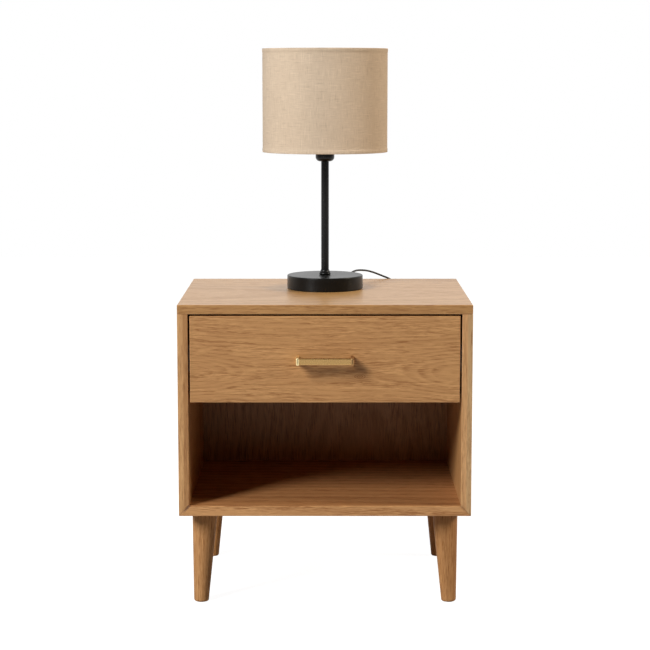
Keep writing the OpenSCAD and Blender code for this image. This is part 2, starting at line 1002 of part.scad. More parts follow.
module lamp_holder() {
    r = holder_d / 2;
    color("white")
        difference() {
            at_lamp(holder_z)
                rotate_extrude()
                    polygon(concat(
                        [[0, 0]],
                        arc([r - cup_r, cup_r], cup_r, -90, 0),
                        [[r, holder_l], [0, holder_l]]));
            at_lamp(holder_z + holder_floor)
                cylinder(h = holder_l, d = sleeve_d + 2 * hole_gap);
            at_lamp(holder_z - cut)
                cylinder(h = pipe_z1 - holder_z + 2 * cut, d = pipe_d + 2 * hole_gap);
            at_lamp(holder_z)
                cylinder(h = holder_floor + cut, d = 2.8 * wire_lead_d);
        }
}

module holder_thread_sleeve() {
    color(brass)
        at_lamp(holder_z + holder_floor)
            tube(sleeve_d, sleeve_bore, sleeve_l);
}

module holder_contact() {
    color(brass)
        at_lamp(holder_z + holder_floor)
            cylinder(h = contact_t, d = 12);
}

module lamp_inner_wires() {
    reach = base_d / 2 - base_wall - 3;
    color("black") {
        for (side = [-1, 1])
            translate([side * 0.6 * wire_lead_d, lamp_y, top_z + relief_z])
                cylinder(h = holder_z + holder_floor - top_z - relief_z, d = wire_lead_d);
        toward_exit()
            rod_x(cord_d, reach);
    }
}

module shade_ring() {
    color("white")
        at_lamp(fitter_z + fitter_t)
            difference() {
                union() {
                    cylinder(h = fitter_t, d = ring_flange_d);
                    cylinder(h = ring_h, d = cup_d + 2);
                }
                translate([0, 0, -cut])
                    cylinder(h = ring_h + 2 * cut, d = holder_d + 2 * hole_gap);
            }
}

// ---- Shade ----

rim_set = 2;

// A wire ring at height z inside the shade.
module wire_ring(z) {
    at_lamp(z)
        rotate_extrude($fn = 96)
            translate([wire_ring_r, 0])
                circle(d = wire_d, $fn = 24);
}

module shade_frame() {
    arm_z = fitter_z + fitter_t - arm_t / 2 - hole_gap;
    rise = arm_z - (shade_z + wire_d / 2 + rim_set);
    run = wire_ring_r - arm_r0;
    color("silver") {
        wire_ring(shade_z + wire_d / 2 + rim_set);
        at_lamp(fitter_z)
            tube(fitter_d, fitter_bore, fitter_t);
        for (i = [0:arm_count - 1])
            at_lamp(arm_z)
                rotate([0, 0, 90 + 360 * i / arm_count])
                    translate([arm_r0, 0, 0])
                        rotate([0, 90 + atan(rise / run), 0])
                            cylinder(h = norm([rise, run]), d = arm_t);
    }
}

module shade_top_ring() {
    color("silver")
        wire_ring(shade_top_z - wire_d / 2 - rim_set);
}

module shade_fabric() {
    color(linen)
        at_lamp(shade_z)
            rotate_extrude($fn = 128)
                translate([shade_d / 2 - fabric_t, 0])
                    square([fabric_t, shade_h]);
}

// ---- Bulb ----

glass_wall = 1;
bulb_neck_h = holder_l - (glass_z - holder_z) + 2;

module bulb_shape(shrink) {
    r = bulb_d / 2 - shrink;
    neck_r = cap_d / 2 - 0.4 - shrink;
    lift = 0.4 * r;
    centre_z = bulb_top_z - bulb_d / 2;
    shoulder_z = glass_z + bulb_neck_h;
    at_lamp(centre_z)
        sphere(r = r);
    at_lamp(glass_z)
        cylinder(h = bulb_neck_h, r = neck_r);
    at_lamp(shoulder_z)
        cylinder(h = centre_z - lift - shoulder_z, r1 = neck_r, r2 = sqrt(r * r - lift * lift));
}

module bulb_glass() {
    color("white")
        difference() {
            bulb_shape(0);
            bulb_shape(glass_wall);
            at_lamp(glass_z - cut)
                cylinder(h = 2 * cut, r = cap_d / 2 - 0.4 - glass_wall);
        }
}

module bulb_cap() {
    tip_h = cap_z - holder_z - holder_floor - contact_t;
    color(zinc) {
        at_lamp(cap_z + 5)
            cylinder(h = cap_l - 5, d = cap_d);
        at_lamp(cap_z)
            cylinder(h = 5, d1 = 11, d2 = cap_d - 1);
        at_lamp(cap_z - tip_h)
            cylinder(h = tip_h + 0.5, d = 9);
    }
}

// ---- Cord ----

module cord_strain_relief() {
    wall_r = base_d / 2;
    color(black)
        toward_exit() {
            translate([wall_r, 0, 0])
                rotate([0, 90, 0])
                    cylinder(h = relief_l, d1 = relief_d0, d2 = relief_d1);
            translate([wall_r - base_wall - 3, 0, 0])
                rod_x(relief_neck_d, base_wall + 3);
            translate([wall_r - base_wall - 2, 0, 0])
                rod_x(relief_d0, 1.8);
        }
}

// A smooth curve through points p with n steps between neighbours.
function point_at(p, i) =
    i < 0 ? 2 * p[0] - p[1]
    : i > len(p) - 1 ? 2 * p[len(p) - 1] - p[len(p) - 2]
    : p[i];
function curve_point(a, b, c, d, t) =
    0.5 * (2 * b + (c - a) * t + (2 * a - 5 * b + 4 * c - d) * t * t
        + (3 * b - a - 3 * c + d) * t * t * t);
function smooth_path(p, n) = concat(
    [for (i = [0:len(p) - 2], k = [0:n - 1])
        curve_point(point_at(p, i - 1), p[i], p[i + 1], point_at(p, i + 2), k / n)],
    [p[len(p) - 1]]);

function unit(v) = v / norm(v);
function heading(p, i) = unit(p[min(i + 1, len(p) - 1)] - p[max(i - 1, 0)]);

// One ring of a tube about p[i], square to the path, with its first axis near up_hint.
function ring_points(p, i, r, sides, up_hint) =
    let (t = heading(p, i), u = unit(up_hint - (up_hint * t) * t), v = cross(t, u))
    [for (k = [0:sides - 1])
        p[i] + r * (cos(360 * (k + 0.5) / sides) * u + sin(360 * (k + 0.5) / sides) * v)];

// A closed tube along path p: the rings' sides are triangles, and both ends are capped.
module path_tube(p, r, sides, up_hint) {
    n = len(p);
    points = concat(
        [for (i = [0:n - 1], q = ring_points(p, i, r, sides, up_hint)) q],
        [p[0], p[n - 1]]);
    walls = [for (i = [0:n - 2], k = [0:sides - 1], half = [0, 1])
        let (a = i * sides + k, b = i * sides + (k + 1) % sides, c = a + sides, d = b + sides)
        half == 0 ? [a, c, b] : [b, c, d]];
    ends = [for (k = [0:sides - 1], last = [0, 1])
        let (a = last * (n - 1) * sides + k, b = last * (n - 1) * sides + (k + 1) % sides)
        last == 0 ? [n * sides, a, b] : [n * sides + 1, b, a]];
    polyhedron(points = points, faces = concat(walls, ends), convexity = 6);
}

function from_front(route) = [for (p = route) p + [0, front_y, 0]];

cord_sides = 8;
cord_up = [0.9, -0.35, 0.25];

// Each end is straight, square to the face that it meets.
upper_path = concat(
    [relief_tip],
    smooth_path(concat([relief_tip + cord_d * relief_dir], from_front(upper_route)), rings_per_point),
    [[switch_x, switch_y, switch_z + switch_l / 2]]);
lower_path = concat(
    [[switch_x, switch_y, switch_z - switch_l / 2]],
    smooth_path(from_front(lower_route), rings_per_point),
    from_front([hank_start]));

module upper_cord() {
    color(black)
        path_tube(upper_path, cord_d / 2, cord_sides, cord_up);
}

module lower_cord() {
    color(black)
        path_tube(lower_path, cord_d / 2, cord_sides, cord_up);
}

// Ring i of the hank. Its radius shrinks by one step a loop on the lower layer and grows
// again on the upper one, and the climb lies along the run between them.
inner_ring = hank_loops * loop_rings;
last_ring = 2 * inner_ring + run_rings;
function hank_radius(i) =
    i <= inner_ring ? outer_r - loop_step * i / loop_rings
    : fold_r + loop_step * (i - inner_ring) / loop_rings;
function hank_height(i) =
    hank_z0 + layer_step * min(1, max(0, i - inner_ring) / run_rings);
function drawn_in(y) = 1 - waist_draw * (1 - cos(360 * (y - hank_y0) / run_l)) / 2;
function run_point(i, side, y) = [hank_x + side * hank_radius(i) * drawn_in(y), y, hank_height(i)];
function fold_point(i, y, turn) =
    [hank_x + hank_radius(i) * cos(turn), y + hank_radius(i) * sin(turn), hank_height(i)];
function hank_ring(i) =
    let (k = i % loop_rings)
    k < run_rings ? run_point(i, -1, hank_y0 + run_l * k / run_rings)
    : k <= run_rings + fold_rings
        ? fold_point(i, hank_y1, 180 - 180 * (k - run_rings) / fold_rings)
    : k < 2 * run_rings + fold_rings
        ? run_point(i, 1, hank_y1 - run_l * (k - run_rings - fold_rings) / run_rings)
    : fold_point(i, hank_y0, -180 * (k - 2 * run_rings - fold_rings) / fold_rings);
hank_path = concat(
    [[hank_x0, hank_y0 - cord_d, hank_z0]],
    [for (i = [0:last_ring]) hank_ring(i)],
    [hank_ring(last_ring) + [0, cord_d, 0]]);

// Least distance between rings that aren't neighbours, less the cord's diameter.
hank_self_gap = min([for (i = [0:len(hank_path) - 1], j = [i + 5:1:len(hank_path) - 1])
    norm(hank_path[i] - hank_path[j])]) - cord_d;
echo(hank_self_gap = hank_self_gap);

module cord_hank() {
    color(black)
        path_tube(hank_path, cord_d / 2, 6, [0, 0, 1]);
}

// A flat band round the waist, over both layers.
module hank_tie() {
    spread = outer_r * waist_draw * tie_w / run_l;
    left = outer_r * (1 - waist_draw) + spread + cord_d / 2 + run_gap;
    right = (outer_r - loop_step / 2) * (1 - waist_draw) + spread + cord_d / 2 + run_gap;
    high = hank_top_z + cord_d / 2 + run_gap - tie_t;
    translate([hank_x + (right - left) / 2, hank_y0 + (run_l + tie_w) / 2, tie_t + high / 2])
        rotate([90, 0, 0])
            color("dimgray")
                linear_extrude(tie_w)
                    difference() {
                        round_rect(left + right + 2 * tie_t, high + 2 * tie_t, 2);
                        round_rect(left + right, high, 1.2);
                    }
}

function ease(t) = t * t * (3 - 2 * t);
tail_side = hank_radius(last_ring);
tail_drop = hank_top_z - plug_h / 2;
tail_path = concat(
    [hank_ring(last_ring) + [0, cord_d, 0]],
    [for (i = [0:6])
        hank_ring(last_ring)
            + [tail_side * ease(i / 6), tail_start + tail_swing * i / 6, -tail_drop * ease(i / 6)]],
    [[hank_x, plug_y, plug_h / 2]]);

function path_length(p, i = 1) = i >= len(p) ? 0 : norm(p[i] - p[i - 1]) + path_length(p, i + 1);
echo(cord_lengths = [path_length(upper_path), path_length(lower_path), path_length(hank_path),
    path_length(tail_path)]);

module cord_tail() {
    color(black)
        path_tube(tail_path, cord_d / 2, cord_sides, [0, 0, 1]);
}

// ---- Switch on the cord ----

rocker_pivot_y = switch_y + switch_t / 2 - 3.2;

module switch_outline(shrink) {
    round_rect(switch_w - 2 * shrink, switch_l - 2 * shrink, 4);
}

// One half of the housing, from the middle plane outward: a tray with a cord notch at each end.
module switch_half() {
    depth = switch_t / 2;
    difference() {
        linear_extrude(depth)
            switch_outline(0);
        translate([0, 0, -cut])
            linear_extrude(depth - switch_wall + cut)
                switch_outline(switch_wall);
    }
}

module at_switch() {
    translate([switch_x, switch_y, switch_z])
        children();
}

module switch_back_half() {
    color(black)
        at_switch()
            rotate([90, 0, 0])
                switch_half();
}

module switch_cover_half() {
    slot_w = rocker_w + 2 * run_gap;
    slot_l = rocker_l + 2 * rocker_slot_gap;
    color(black)
        difference() {
            union() {
                at_switch()
                    rotate([-90, 0, 0])
                        switch_half();
                for (side = [-1, 1])
                    translate([switch_x + side * (slot_w / 2 + 1.2), rocker_pivot_y, switch_z])
                        translate([-1.2, -2.4, -2.6])
                            cube([2.4, switch_y + switch_t / 2 - 1 - rocker_pivot_y + 2.4, 5.2]);
            }
            translate([switch_x - slot_w / 2, switch_y + cut, switch_z - slot_l / 2])
                cube([slot_w, switch_t, slot_l]);
            translate([switch_x - slot_w, rocker_pivot_y, switch_z])
                rod_x(rocker_pin_d + 2 * hole_gap, 2 * slot_w);
        }
}

// The rocker's pins turn in the ears beside its slot. At rest one end is pressed in.
module switch_rocker() {
    color("dimgray")
        translate([switch_x, rocker_pivot_y, switch_z])
            rotate([rocker_throw / 2, 0, 0]) {
                translate([-rocker_w / 2, 0, 0])
                    rotate([90, 0, 90])
                        linear_extrude(rocker_w)
                            polygon([
                                [-2, -4], [0, -rocker_l / 2 + 1.5], [4.4, -rocker_l / 2],
                                [3.6, 0], [4.4, rocker_l / 2], [0, rocker_l / 2 - 1.5], [-2, 4]
                            ]);
                translate([-rocker_w / 2 - 1.6, 0, 0])
                    rod_x(rocker_pin_d, rocker_w + 3.2);
            }
}

// ---- Plug ----

module plug_body() {
    color(black)
        translate([hank_x, plug_y, plug_h / 2])
            rotate([-90, 0, 0])
                linear_extrude(plug_l)
                    round_rect(plug_w, plug_h, 4);
}

module plug_pins() {
    color(steel)
        for (side = [-1, 1])
            translate([hank_x + side * pin_pitch / 2, plug_y + plug_l, plug_h / 2])
                rod_y(pin_d, pin_l);
}

// ---- Drawing ----

top_panel();
left_side_panel();
right_side_panel();
bottom_panel();
divider_panel();
back_panel();
carcase_dowels();
leg_front_left();
leg_front_right();
leg_rear_left();
leg_rear_right();
leg_hanger_bolts();
leg_insert_nuts();
foot_glides();
runner_cabinet_members();
runner_cabinet_screws();
runner_middle_members();
outer_ball_cages();
outer_bearing_balls();
inner_ball_cages();
inner_bearing_balls();
runner_drawer_members();
runner_drawer_screws();
drawer_front();
drawer_left_side();
drawer_right_side();
drawer_back();
drawer_bottom();
drawer_dowels();
drawer_handle();
handle_screws();
lamp_base_cover();
lamp_base_weight();
lamp_base_felt();
lamp_base_nut();
lamp_pipe();
lamp_stem();
lamp_collar();
socket_cup();
lamp_holder();
holder_thread_sleeve();
holder_contact();
lamp_inner_wires();
shade_ring();
shade_frame();
shade_top_ring();
shade_fabric();
bulb_glass();
bulb_cap();
cord_strain_relief();
upper_cord();
switch_back_half();
switch_cover_half();
switch_rocker();
lower_cord();
cord_hank();
hank_tie();
cord_tail();
plug_body();
plug_pins();
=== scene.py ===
import json
import math
import bmesh
import bpy
import numpy as np
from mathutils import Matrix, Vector


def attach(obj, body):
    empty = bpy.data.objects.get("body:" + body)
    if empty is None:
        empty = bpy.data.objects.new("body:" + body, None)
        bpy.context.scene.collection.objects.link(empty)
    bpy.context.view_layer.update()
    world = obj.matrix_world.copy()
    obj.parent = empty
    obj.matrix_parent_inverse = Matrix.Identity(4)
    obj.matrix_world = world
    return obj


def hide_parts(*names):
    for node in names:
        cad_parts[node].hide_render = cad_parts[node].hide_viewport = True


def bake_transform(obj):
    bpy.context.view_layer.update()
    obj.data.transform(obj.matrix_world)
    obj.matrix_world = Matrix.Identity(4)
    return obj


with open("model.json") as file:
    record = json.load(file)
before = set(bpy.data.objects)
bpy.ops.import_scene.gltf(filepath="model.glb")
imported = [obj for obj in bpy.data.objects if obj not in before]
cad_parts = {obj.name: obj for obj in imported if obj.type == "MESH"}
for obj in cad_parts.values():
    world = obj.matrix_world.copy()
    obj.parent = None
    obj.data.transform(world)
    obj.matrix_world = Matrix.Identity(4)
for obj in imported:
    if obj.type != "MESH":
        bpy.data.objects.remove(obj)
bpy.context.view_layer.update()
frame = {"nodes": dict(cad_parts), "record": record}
print("frame loaded")


def addToScene(name, data):
    # A new object with this data, linked to the scene.
    thing = bpy.data.objects.new(name, data)
    bpy.context.scene.collection.objects.link(thing)
    return thing


# Camera: straight in front of the table, a little above its top, level left to right.
cameraSetup = {"distance": 3.3082, "height": 0.9128, "tiltDown": 7.669, "lens": 103.23,
               "sensor": 36, "farthest": 80}
cameraData = bpy.data.cameras.new("frontCamera")
cameraData.sensor_width = cameraSetup["sensor"]
cameraData.lens = cameraSetup["lens"]
cameraData.clip_end = cameraSetup["farthest"]
camera = addToScene("frontCamera", cameraData)
camera.location = (0, -cameraSetup["distance"], cameraSetup["height"])
camera.rotation_euler = (math.radians(90 - cameraSetup["tiltDown"]), 0, 0)
bpy.context.scene.camera = camera


class Signal:
    # A node's output. Each sign or call adds one node that takes it in.
    def __init__(self, socket):
        self.socket, self.tree = socket, socket.id_data

    def math(self, operation, b=0.0, clamp=False):
        return addNode(self.tree, "ShaderNodeMath", {0: self, 1: b},
                       operation=operation, use_clamp=clamp)[0]

    def __add__(self, other):
        return self.math("ADD", other)

    def __sub__(self, other):
        return self.math("SUBTRACT", other)

    def __mul__(self, other):
        return self.math("MULTIPLY", other)

    def __truediv__(self, other):
        return self.math("DIVIDE", other)

    def vector(self, operation, b=(0, 0, 0)):
        # Its vector is output 0 and its number output 1.
        return addNode(self.tree, "ShaderNodeVectorMath", {0: self, 1: b}, operation=operation)

    def parts(self):
        # The X, Y and Z of a vector.
        xyz = addNode(self.tree, "ShaderNodeSeparateXYZ", {0: self})
        return xyz[0], xyz[1], xyz[2]

    def ramp(self, low, high, fromLow=0.0, fromHigh=1.0, smooth=False):
        # Goes from low to high while the signal goes from fromLow to fromHigh, and stays there.
        return addNode(self.tree, "ShaderNodeMapRange",
                       {"Value": self, "From Min": fromLow, "From Max": fromHigh,
                        "To Min": low, "To Max": high},
                       interpolation_type="SMOOTHSTEP" if smooth else "LINEAR")[0]

    def noise(self, stretch=(1, 1, 1), offset=(0, 0, 0), detail=2.0, roughness=0.5, scale=1.0):
        # Noise at this place times stretch, plus offset.
        place = addNode(self.tree, "ShaderNodeMapping",
                        {"Vector": self, "Location": offset, "Scale": stretch})[0]
        return addNode(self.tree, "ShaderNodeTexNoise",
                       {"Vector": place, "Scale": scale, "Detail": detail,
                        "Roughness": roughness})[0]

    def bump(self, distance, strength):
        # The normal of a surface that stands out by this height.
        return addNode(self.tree, "ShaderNodeBump",
                       {"Height": self, "Distance": distance, "Strength": strength})[0]


def feed(node, inputs):
    # A signal is linked to its input. Anything else becomes the input's own value.
    for key, value in inputs.items():
        if isinstance(value, Signal):
            node.id_data.links.new(value.socket, node.inputs[key])
        else:
            node.inputs[key].default_value = value


def addNode(tree, kind, inputs=None, **settings):
    # A new node. Its outputs come back by number and by name.
    node = tree.nodes.new(kind)
    for key, value in settings.items():
        setattr(node, key, value)
    feed(node, inputs or {})
    signals = [Signal(socket) for socket in node.outputs]
    return {**dict(enumerate(signals)), **{s.socket.name: s for s in signals}}


def mixColor(factor, a, b, blend="MIX"):
    # From color a to color b as the factor goes from 0 to 1.
    tree = next(v.tree for v in (factor, a, b) if isinstance(v, Signal))
    return addNode(tree, "ShaderNodeMix", {0: factor, 6: a, 7: b},
                   data_type="RGBA", blend_type=blend)[2]


def tinted(color, tint):
    # The color times the tint.
    return mixColor(1.0, color, tint + (1,), "MULTIPLY")


def twoTones(color, share):
    # The color less this share of itself, and the color plus it.
    return [tuple(min(1, c * (1 + way * share)) for c in color) + (1,) for way in (-1, 1)]


def useGroup(group, **inputs):
    # Places a node group in the tree that its vector comes from.
    return addNode(inputs["vector"].tree, "ShaderNodeGroup", inputs, node_tree=group)


def startMaterial(name):
    # A new material with its Principled shader and its texture coordinates.
    material = bpy.data.materials.new(name)
    material.use_nodes = True
    shader = material.node_tree.nodes["Principled BSDF"]
    return material, shader, addNode(material.node_tree, "ShaderNodeTexCoord")


def startGroup(name, inputs, outputs):
    # An input's usual value says its kind: nothing or three numbers make a vector, four a color.
    # An output is a number unless it is called color.
    group = bpy.data.node_groups.new(name, "ShaderNodeTree")

    kinds = {0: "Vector", 1: "Float", 3: "Vector", 4: "Color"}

    def addSocket(label, way, kind):
        return group.interface.new_socket(name=label, in_out=way, socket_type="NodeSocket" + kind)

    for label, usual in inputs.items():
        count = len(usual) if isinstance(usual, tuple) else 1
        socket = addSocket(label, "INPUT", kinds[count])
        if count:
            socket.default_value = usual
    for label in outputs:
        addSocket(label, "OUTPUT", "Color" if label == "color" else "Float")
    return group, addNode(group, "NodeGroupInput"), group.nodes.new("NodeGroupOutput")


# Each kind of streak: its stretch along, across and through the board, its place in the noise,
# the noise's detail and roughness, and the two levels between which it turns on.
streakKinds = {"fine": ((36, 520, 520), (1, 5, 2), 2.0, 0.6, 0.37, 0.63),
               "thin": ((70, 1150, 1150), (4, 2, 6), 2.0, 0.6, 0.38, 0.62),
               "broad": ((6, 190, 190), (6, 2, 4), 2.0, 0.5, 0.0, 1.0),
               "patchy": ((13, 70, 70), (8, 3, 2), 2.0, 0.5, 0.34, 0.66),
               "dash": ((28, 640, 640), (3, 7, 5), 1.0, 0.5, 0.60, 0.69),
               "hair": ((105, 520, 520), (2, 8, 3), 1.0, 0.5, 0.64, 0.74)}
# How much each kind of mark darkens the wood, or moves its tone to both sides.
markWeights = {"fine": 0.52, "thin": 0.46, "broad": 0.50, "dash": 0.75, "hair": 0.45,
               "pore": 0.70, "cloud": 0.30, "ring": 0.5, "curl": 1.2, "halo": 0.10}
grainSetup = {"knotShape": (1, 2.2, 0.3), "knotReach": 0.045, "eyeShape": (0.8, 1.5, 0.3),
              "eyeReach": 0.080, "wander": 3.0, "straighter": 0.35, "taperShare": 0.15,
              "lateWood": (0.10, 0.70, 0.78, 1.0), "lateMean": 0.4, "lateStreaks": (0.45, 1.25),
              "earlyPores": 0.35, "patches": (0.25, 1.65), "curls": 1500.0, "curlWander": 60.0,
              "curlSpan": (0.003, 0.014), "middleTone": 0.33, "dull": 0.14, "relief": 0.20}


def makeOakGrain():
    # Grain runs along local X. A growth ring's number is the distance from the tree's heart
    # line, plus a taper and less a bow along the board, over the ring spacing. Its fraction
    # shades each ring.
    setup, weight = grainSetup, markWeights
    group, given, gout = startGroup(
        "oakGrain",
        {"vector": (), "depth": 0.05, "offset": 0.0, "taper": 0.08, "bow": 0.0, "spacing": 0.006,
         "wave": 0.010, "figure": 0.35, "streaks": 0.40, "pores": 0.5, "knot": (9, 9, 9),
         "knotSize": 0.0, "eyes": (9, 9, 9), "eyeSize": 0.0, "light": (0.55, 0.33, 0.16, 1),
         "dark": (0.30, 0.15, 0.06, 1)}, ("color", "roughness", "height"))
    p = given["vector"]

    def distance(spot, centre, shape):
        # Length of the way from the centre to the spot, weighed along each axis.
        return spot.vector("SUBTRACT", centre)[0].vector("MULTIPLY", shape)[0].vector("LENGTH")[1]

    knotAway = distance(p, given["knot"], setup["knotShape"])
    nearKnot = knotAway.ramp(1.0, 0.0, 0.0, setup["knotReach"], smooth=True)
    # Two eyes, as far to the left of the board's middle as to the right, draw rings round them.
    eyeAway = distance(p.vector("ABSOLUTE")[0], given["eyes"], setup["eyeShape"])
    eyePull = eyeAway.ramp(1.0, 0.0, 0.0, setup["eyeReach"], smooth=True) * given["eyeSize"]

    wander = p.noise((2.2, 9, 9)) - 0.5
    ripple = p.noise((9, 45, 45), (3, 1, 7), roughness=0.55) - 0.5
    shift = (wander * setup["wander"] + ripple) * given["wave"]
    x, y, z = p.parts()
    across = y - given["offset"] + shift
    deep = z + given["depth"]
    radius = (across * across + deep * deep).math("SQRT")
    radius = x * (given["taper"] - x * given["bow"]) + radius
    rings = (radius + (nearKnot * given["knotSize"] - eyePull)) / given["spacing"]
    ringPart = rings.math("FRACT")
    ringTone = addNode(group, "ShaderNodeTexWhiteNoise", {"W": rings.math("FLOOR")},
                       noise_dimensions="1D")[0]
    rise, full, fall, end = setup["lateWood"]
    late = ringPart.ramp(0.0, 1.0, rise, full, smooth=True) \
        * ringPart.ramp(1.0, 0.0, fall, end, smooth=True)

    # Streaks run along the grain with most of the rings' wander and a small share of their taper.
    drift = x * given["taper"] * setup["taperShare"] + (across - shift * setup["straighter"])
    flow = addNode(group, "ShaderNodeCombineXYZ", {0: x, 1: drift, 2: z})[0]
    line = {kind: flow.noise(stretch, offset, detail, roughness).ramp(0.0, 1.0, start, end)
            for kind, (stretch, offset, detail, roughness, start, end) in streakKinds.items()}
    cloud = p.noise((3, 7, 7), (9, 4, 1), detail=1.0)
    pore = (line["dash"] * weight["dash"] + line["hair"] * weight["hair"]) \
        * (late.ramp(setup["earlyPores"], 1.0) * given["pores"])

    tone = (late - setup["lateMean"]) * line["fine"].ramp(*setup["lateStreaks"]) * given["figure"]
    tone = tone + (ringTone - 0.5) * (given["figure"] * weight["ring"])
    fine, thin, broad = ((line[kind] - 0.5) * weight[kind] for kind in ("fine", "thin", "broad"))
    streak = broad + (fine + thin) * line["patchy"].ramp(*setup["patches"])
    tone = streak * given["streaks"] + tone
    tone = pore * weight["pore"] + ((cloud - 0.5) * weight["cloud"] + tone)
    # A pin knot: thin dark curls close round its heart and a slight shade about it.
    curl = (knotAway * setup["curls"] + wander * setup["curlWander"]).math("SINE")
    curl = curl.ramp(0.0, 1.0, 0.0, 0.9) * knotAway.ramp(1.0, 0.0, *setup["curlSpan"], smooth=True)
    mark = curl * weight["curl"] + nearKnot * weight["halo"]
    tone = mark * given["knotSize"].math("GREATER_THAN", 0.001) + tone
    tone = tone.math("ADD", setup["middleTone"], clamp=True)
    feed(gout, {"color": mixColor(tone, given["light"], given["dark"]),
                "roughness": tone.ramp(0.0, setup["dull"]),
                "height": line["fine"] * setup["relief"] - pore})
    return group


def makeHandledFinish():
    # Soft patches where the finish is a little duller: a wide noise moves the roughness, and a
    # fine one is the surface's own grain.
    group, given, gout = startGroup(
        "handledFinish", {"vector": (), "roughness": 0.4, "spread": 0.06, "grain": 900.0},
        ("roughness", "height", "mask"))
    mask = given["vector"].noise(detail=3.0, roughness=0.55, scale=14.0)
    feed(gout, {"roughness": (mask - 0.5) * given["spread"] * 2.0 + given["roughness"],
                "height": given["vector"].noise(scale=given["grain"]), "mask": mask})
    return group


weaveSetup = {"wobble": 2.2, "slubShare": 0.6, "single": (((480, 42, 1), (7, 6, 0)),
                                                          ((42, 480, 1), (1, 9, 0))),
              "thickSpan": (0.62, 0.74), "thickTone": -0.32, "thinSpan": (0.27, 0.39),
              "thinTone": 0.26, "mean": 0.6, "contrast": 0.5, "middleTone": 0.62, "relief": 0.9}


def makeWeave():
    # Two sets of threads at right angles, each the size of a sine. Each thread's thickness and
    # tone drift along it.
    group, given, gout = startGroup("plainWeave", {"vector": (), "threads": 1300.0, "slub": 1.0},
                                    ("tone", "height"))
    v, w = given["vector"], weaveSetup
    wobble = (v.noise((160, 160, 1)) - 0.5) * w["wobble"]
    turns = given["threads"] * math.pi
    warp, weft = ((part * turns + wobble).math("SINE").math("ABSOLUTE") for part in v.parts()[:2])
    weave = warp * weft * 0.5 + warp.math("MAXIMUM", weft) * 0.5
    slub = v.noise((760, 60, 1), (2, 1, 0), roughness=0.6) \
        + v.noise((60, 760, 1), (5, 3, 0), roughness=0.6)
    slub = (slub - 1.0) * w["slubShare"]
    # Here and there one thread is much thicker or thinner over a few centimetres.
    for stretch, offset in w["single"]:
        single = v.noise(stretch, offset, detail=1.0)
        slub = single.ramp(0.0, 1.0, *w["thickSpan"]) * w["thickTone"] + slub
        slub = single.ramp(1.0, 0.0, *w["thinSpan"]) * w["thinTone"] + slub
    slub = slub * given["slub"]
    tone = (weave - w["mean"]) * w["contrast"] + slub
    feed(gout, {"tone": tone.math("ADD", w["middleTone"], clamp=True),
                "height": slub * w["relief"] + weave})
    return group


oakGrain = makeOakGrain()
handledFinish = makeHandledFinish()
plainWeave = makeWeave()

oakTones = {"oak": ((0.610, 0.328, 0.128), (0.300, 0.124, 0.034)),
            "pale": ((0.70, 0.53, 0.33), (0.50, 0.34, 0.18))}
cabinetFront = -0.191
# How deep a front edge's tint goes, and how softly two tints meet.
edgeSetup = {"solid": 0.0006, "gone": 0.0012, "blend": 0.0012}
# The joint line at the two lower corners: where it lies and its half width, where it fades out
# towards the corner and to what, how dark it is at the left and at the right, and its tone.
mitreSetup = {"reach": 0.413, "line": (-0.0022, 0.0018), "fade": (0.2360, 0.2440), "least": 0.12,
              "ragged": -0.0060, "dark": (0.95, 0.40), "color": (0.170, 0.066, 0.022, 1)}
# Turns for boards whose grain runs along X, Y or Z, with the broad face across local Y.
grainTurns = {"x": (0, 0, 0), "xFlat": (math.pi / 2, 0, 0), "y": (0, 0, -math.pi / 2),
              "z": (0, math.pi / 2, 0), "zSide": (math.pi / 2, 0, math.pi / 2)}


def oakMaterial(name, grain, place, tint=(1, 1, 1), tones="oak", gloss=0.40, specular=0.5,
                edge=(), mitred=False, **look):
    # place moves each board to its own spot in the tree, so no two show the same figure.
    # edge tints a front edge: for each X from here on, its tint, in the board's own frame.
    material, shader, coords = startMaterial(name)
    here = coords["Object"]
    turned = addNode(here.tree, "ShaderNodeMapping",
                     {"Vector": here, "Rotation": grainTurns[grain], "Location": place})[0]
    light, dark = (tuple(c * t for c, t in zip(tone, tint)) + (1,) for tone in oakTones[tones])
    wood = useGroup(oakGrain, vector=turned, light=light, dark=dark, **look)
    color, e = wood["color"], edgeSetup
    x, y, z = here.parts()
    onEdge = y.ramp(1.0, 0.0, cabinetFront + e["solid"], cabinetFront + e["gone"])
    for fromX, shade in edge:
        past = x.ramp(0.0, 1.0, fromX - e["blend"], fromX + e["blend"]) * onEdge
        color = mixColor(past, color, tinted(wood["color"], shade))
    if mitred:
        # On the joint line, distance from the middle plus height is the same all along.
        m = mitreSetup
        away = x.math("ABSOLUTE")
        offLine = (away + z - m["reach"]).math("ABSOLUTE")
        offLine = here.noise(scale=420.0) * m["ragged"] + offLine
        joint = offLine.ramp(1.0, 0.0, *m["line"]) * onEdge
        joint = joint * away.ramp(1.0, m["least"], *m["fade"]) * x.ramp(*m["dark"], -0.1, 0.1)
        color = mixColor(joint, color, m["color"])
    feed(shader, {"Base Color": color, "Roughness": wood["roughness"] + gloss,
                  "Normal": wood["height"].bump(0.00010, 0.5), "Specular IOR Level": specular})
    return material


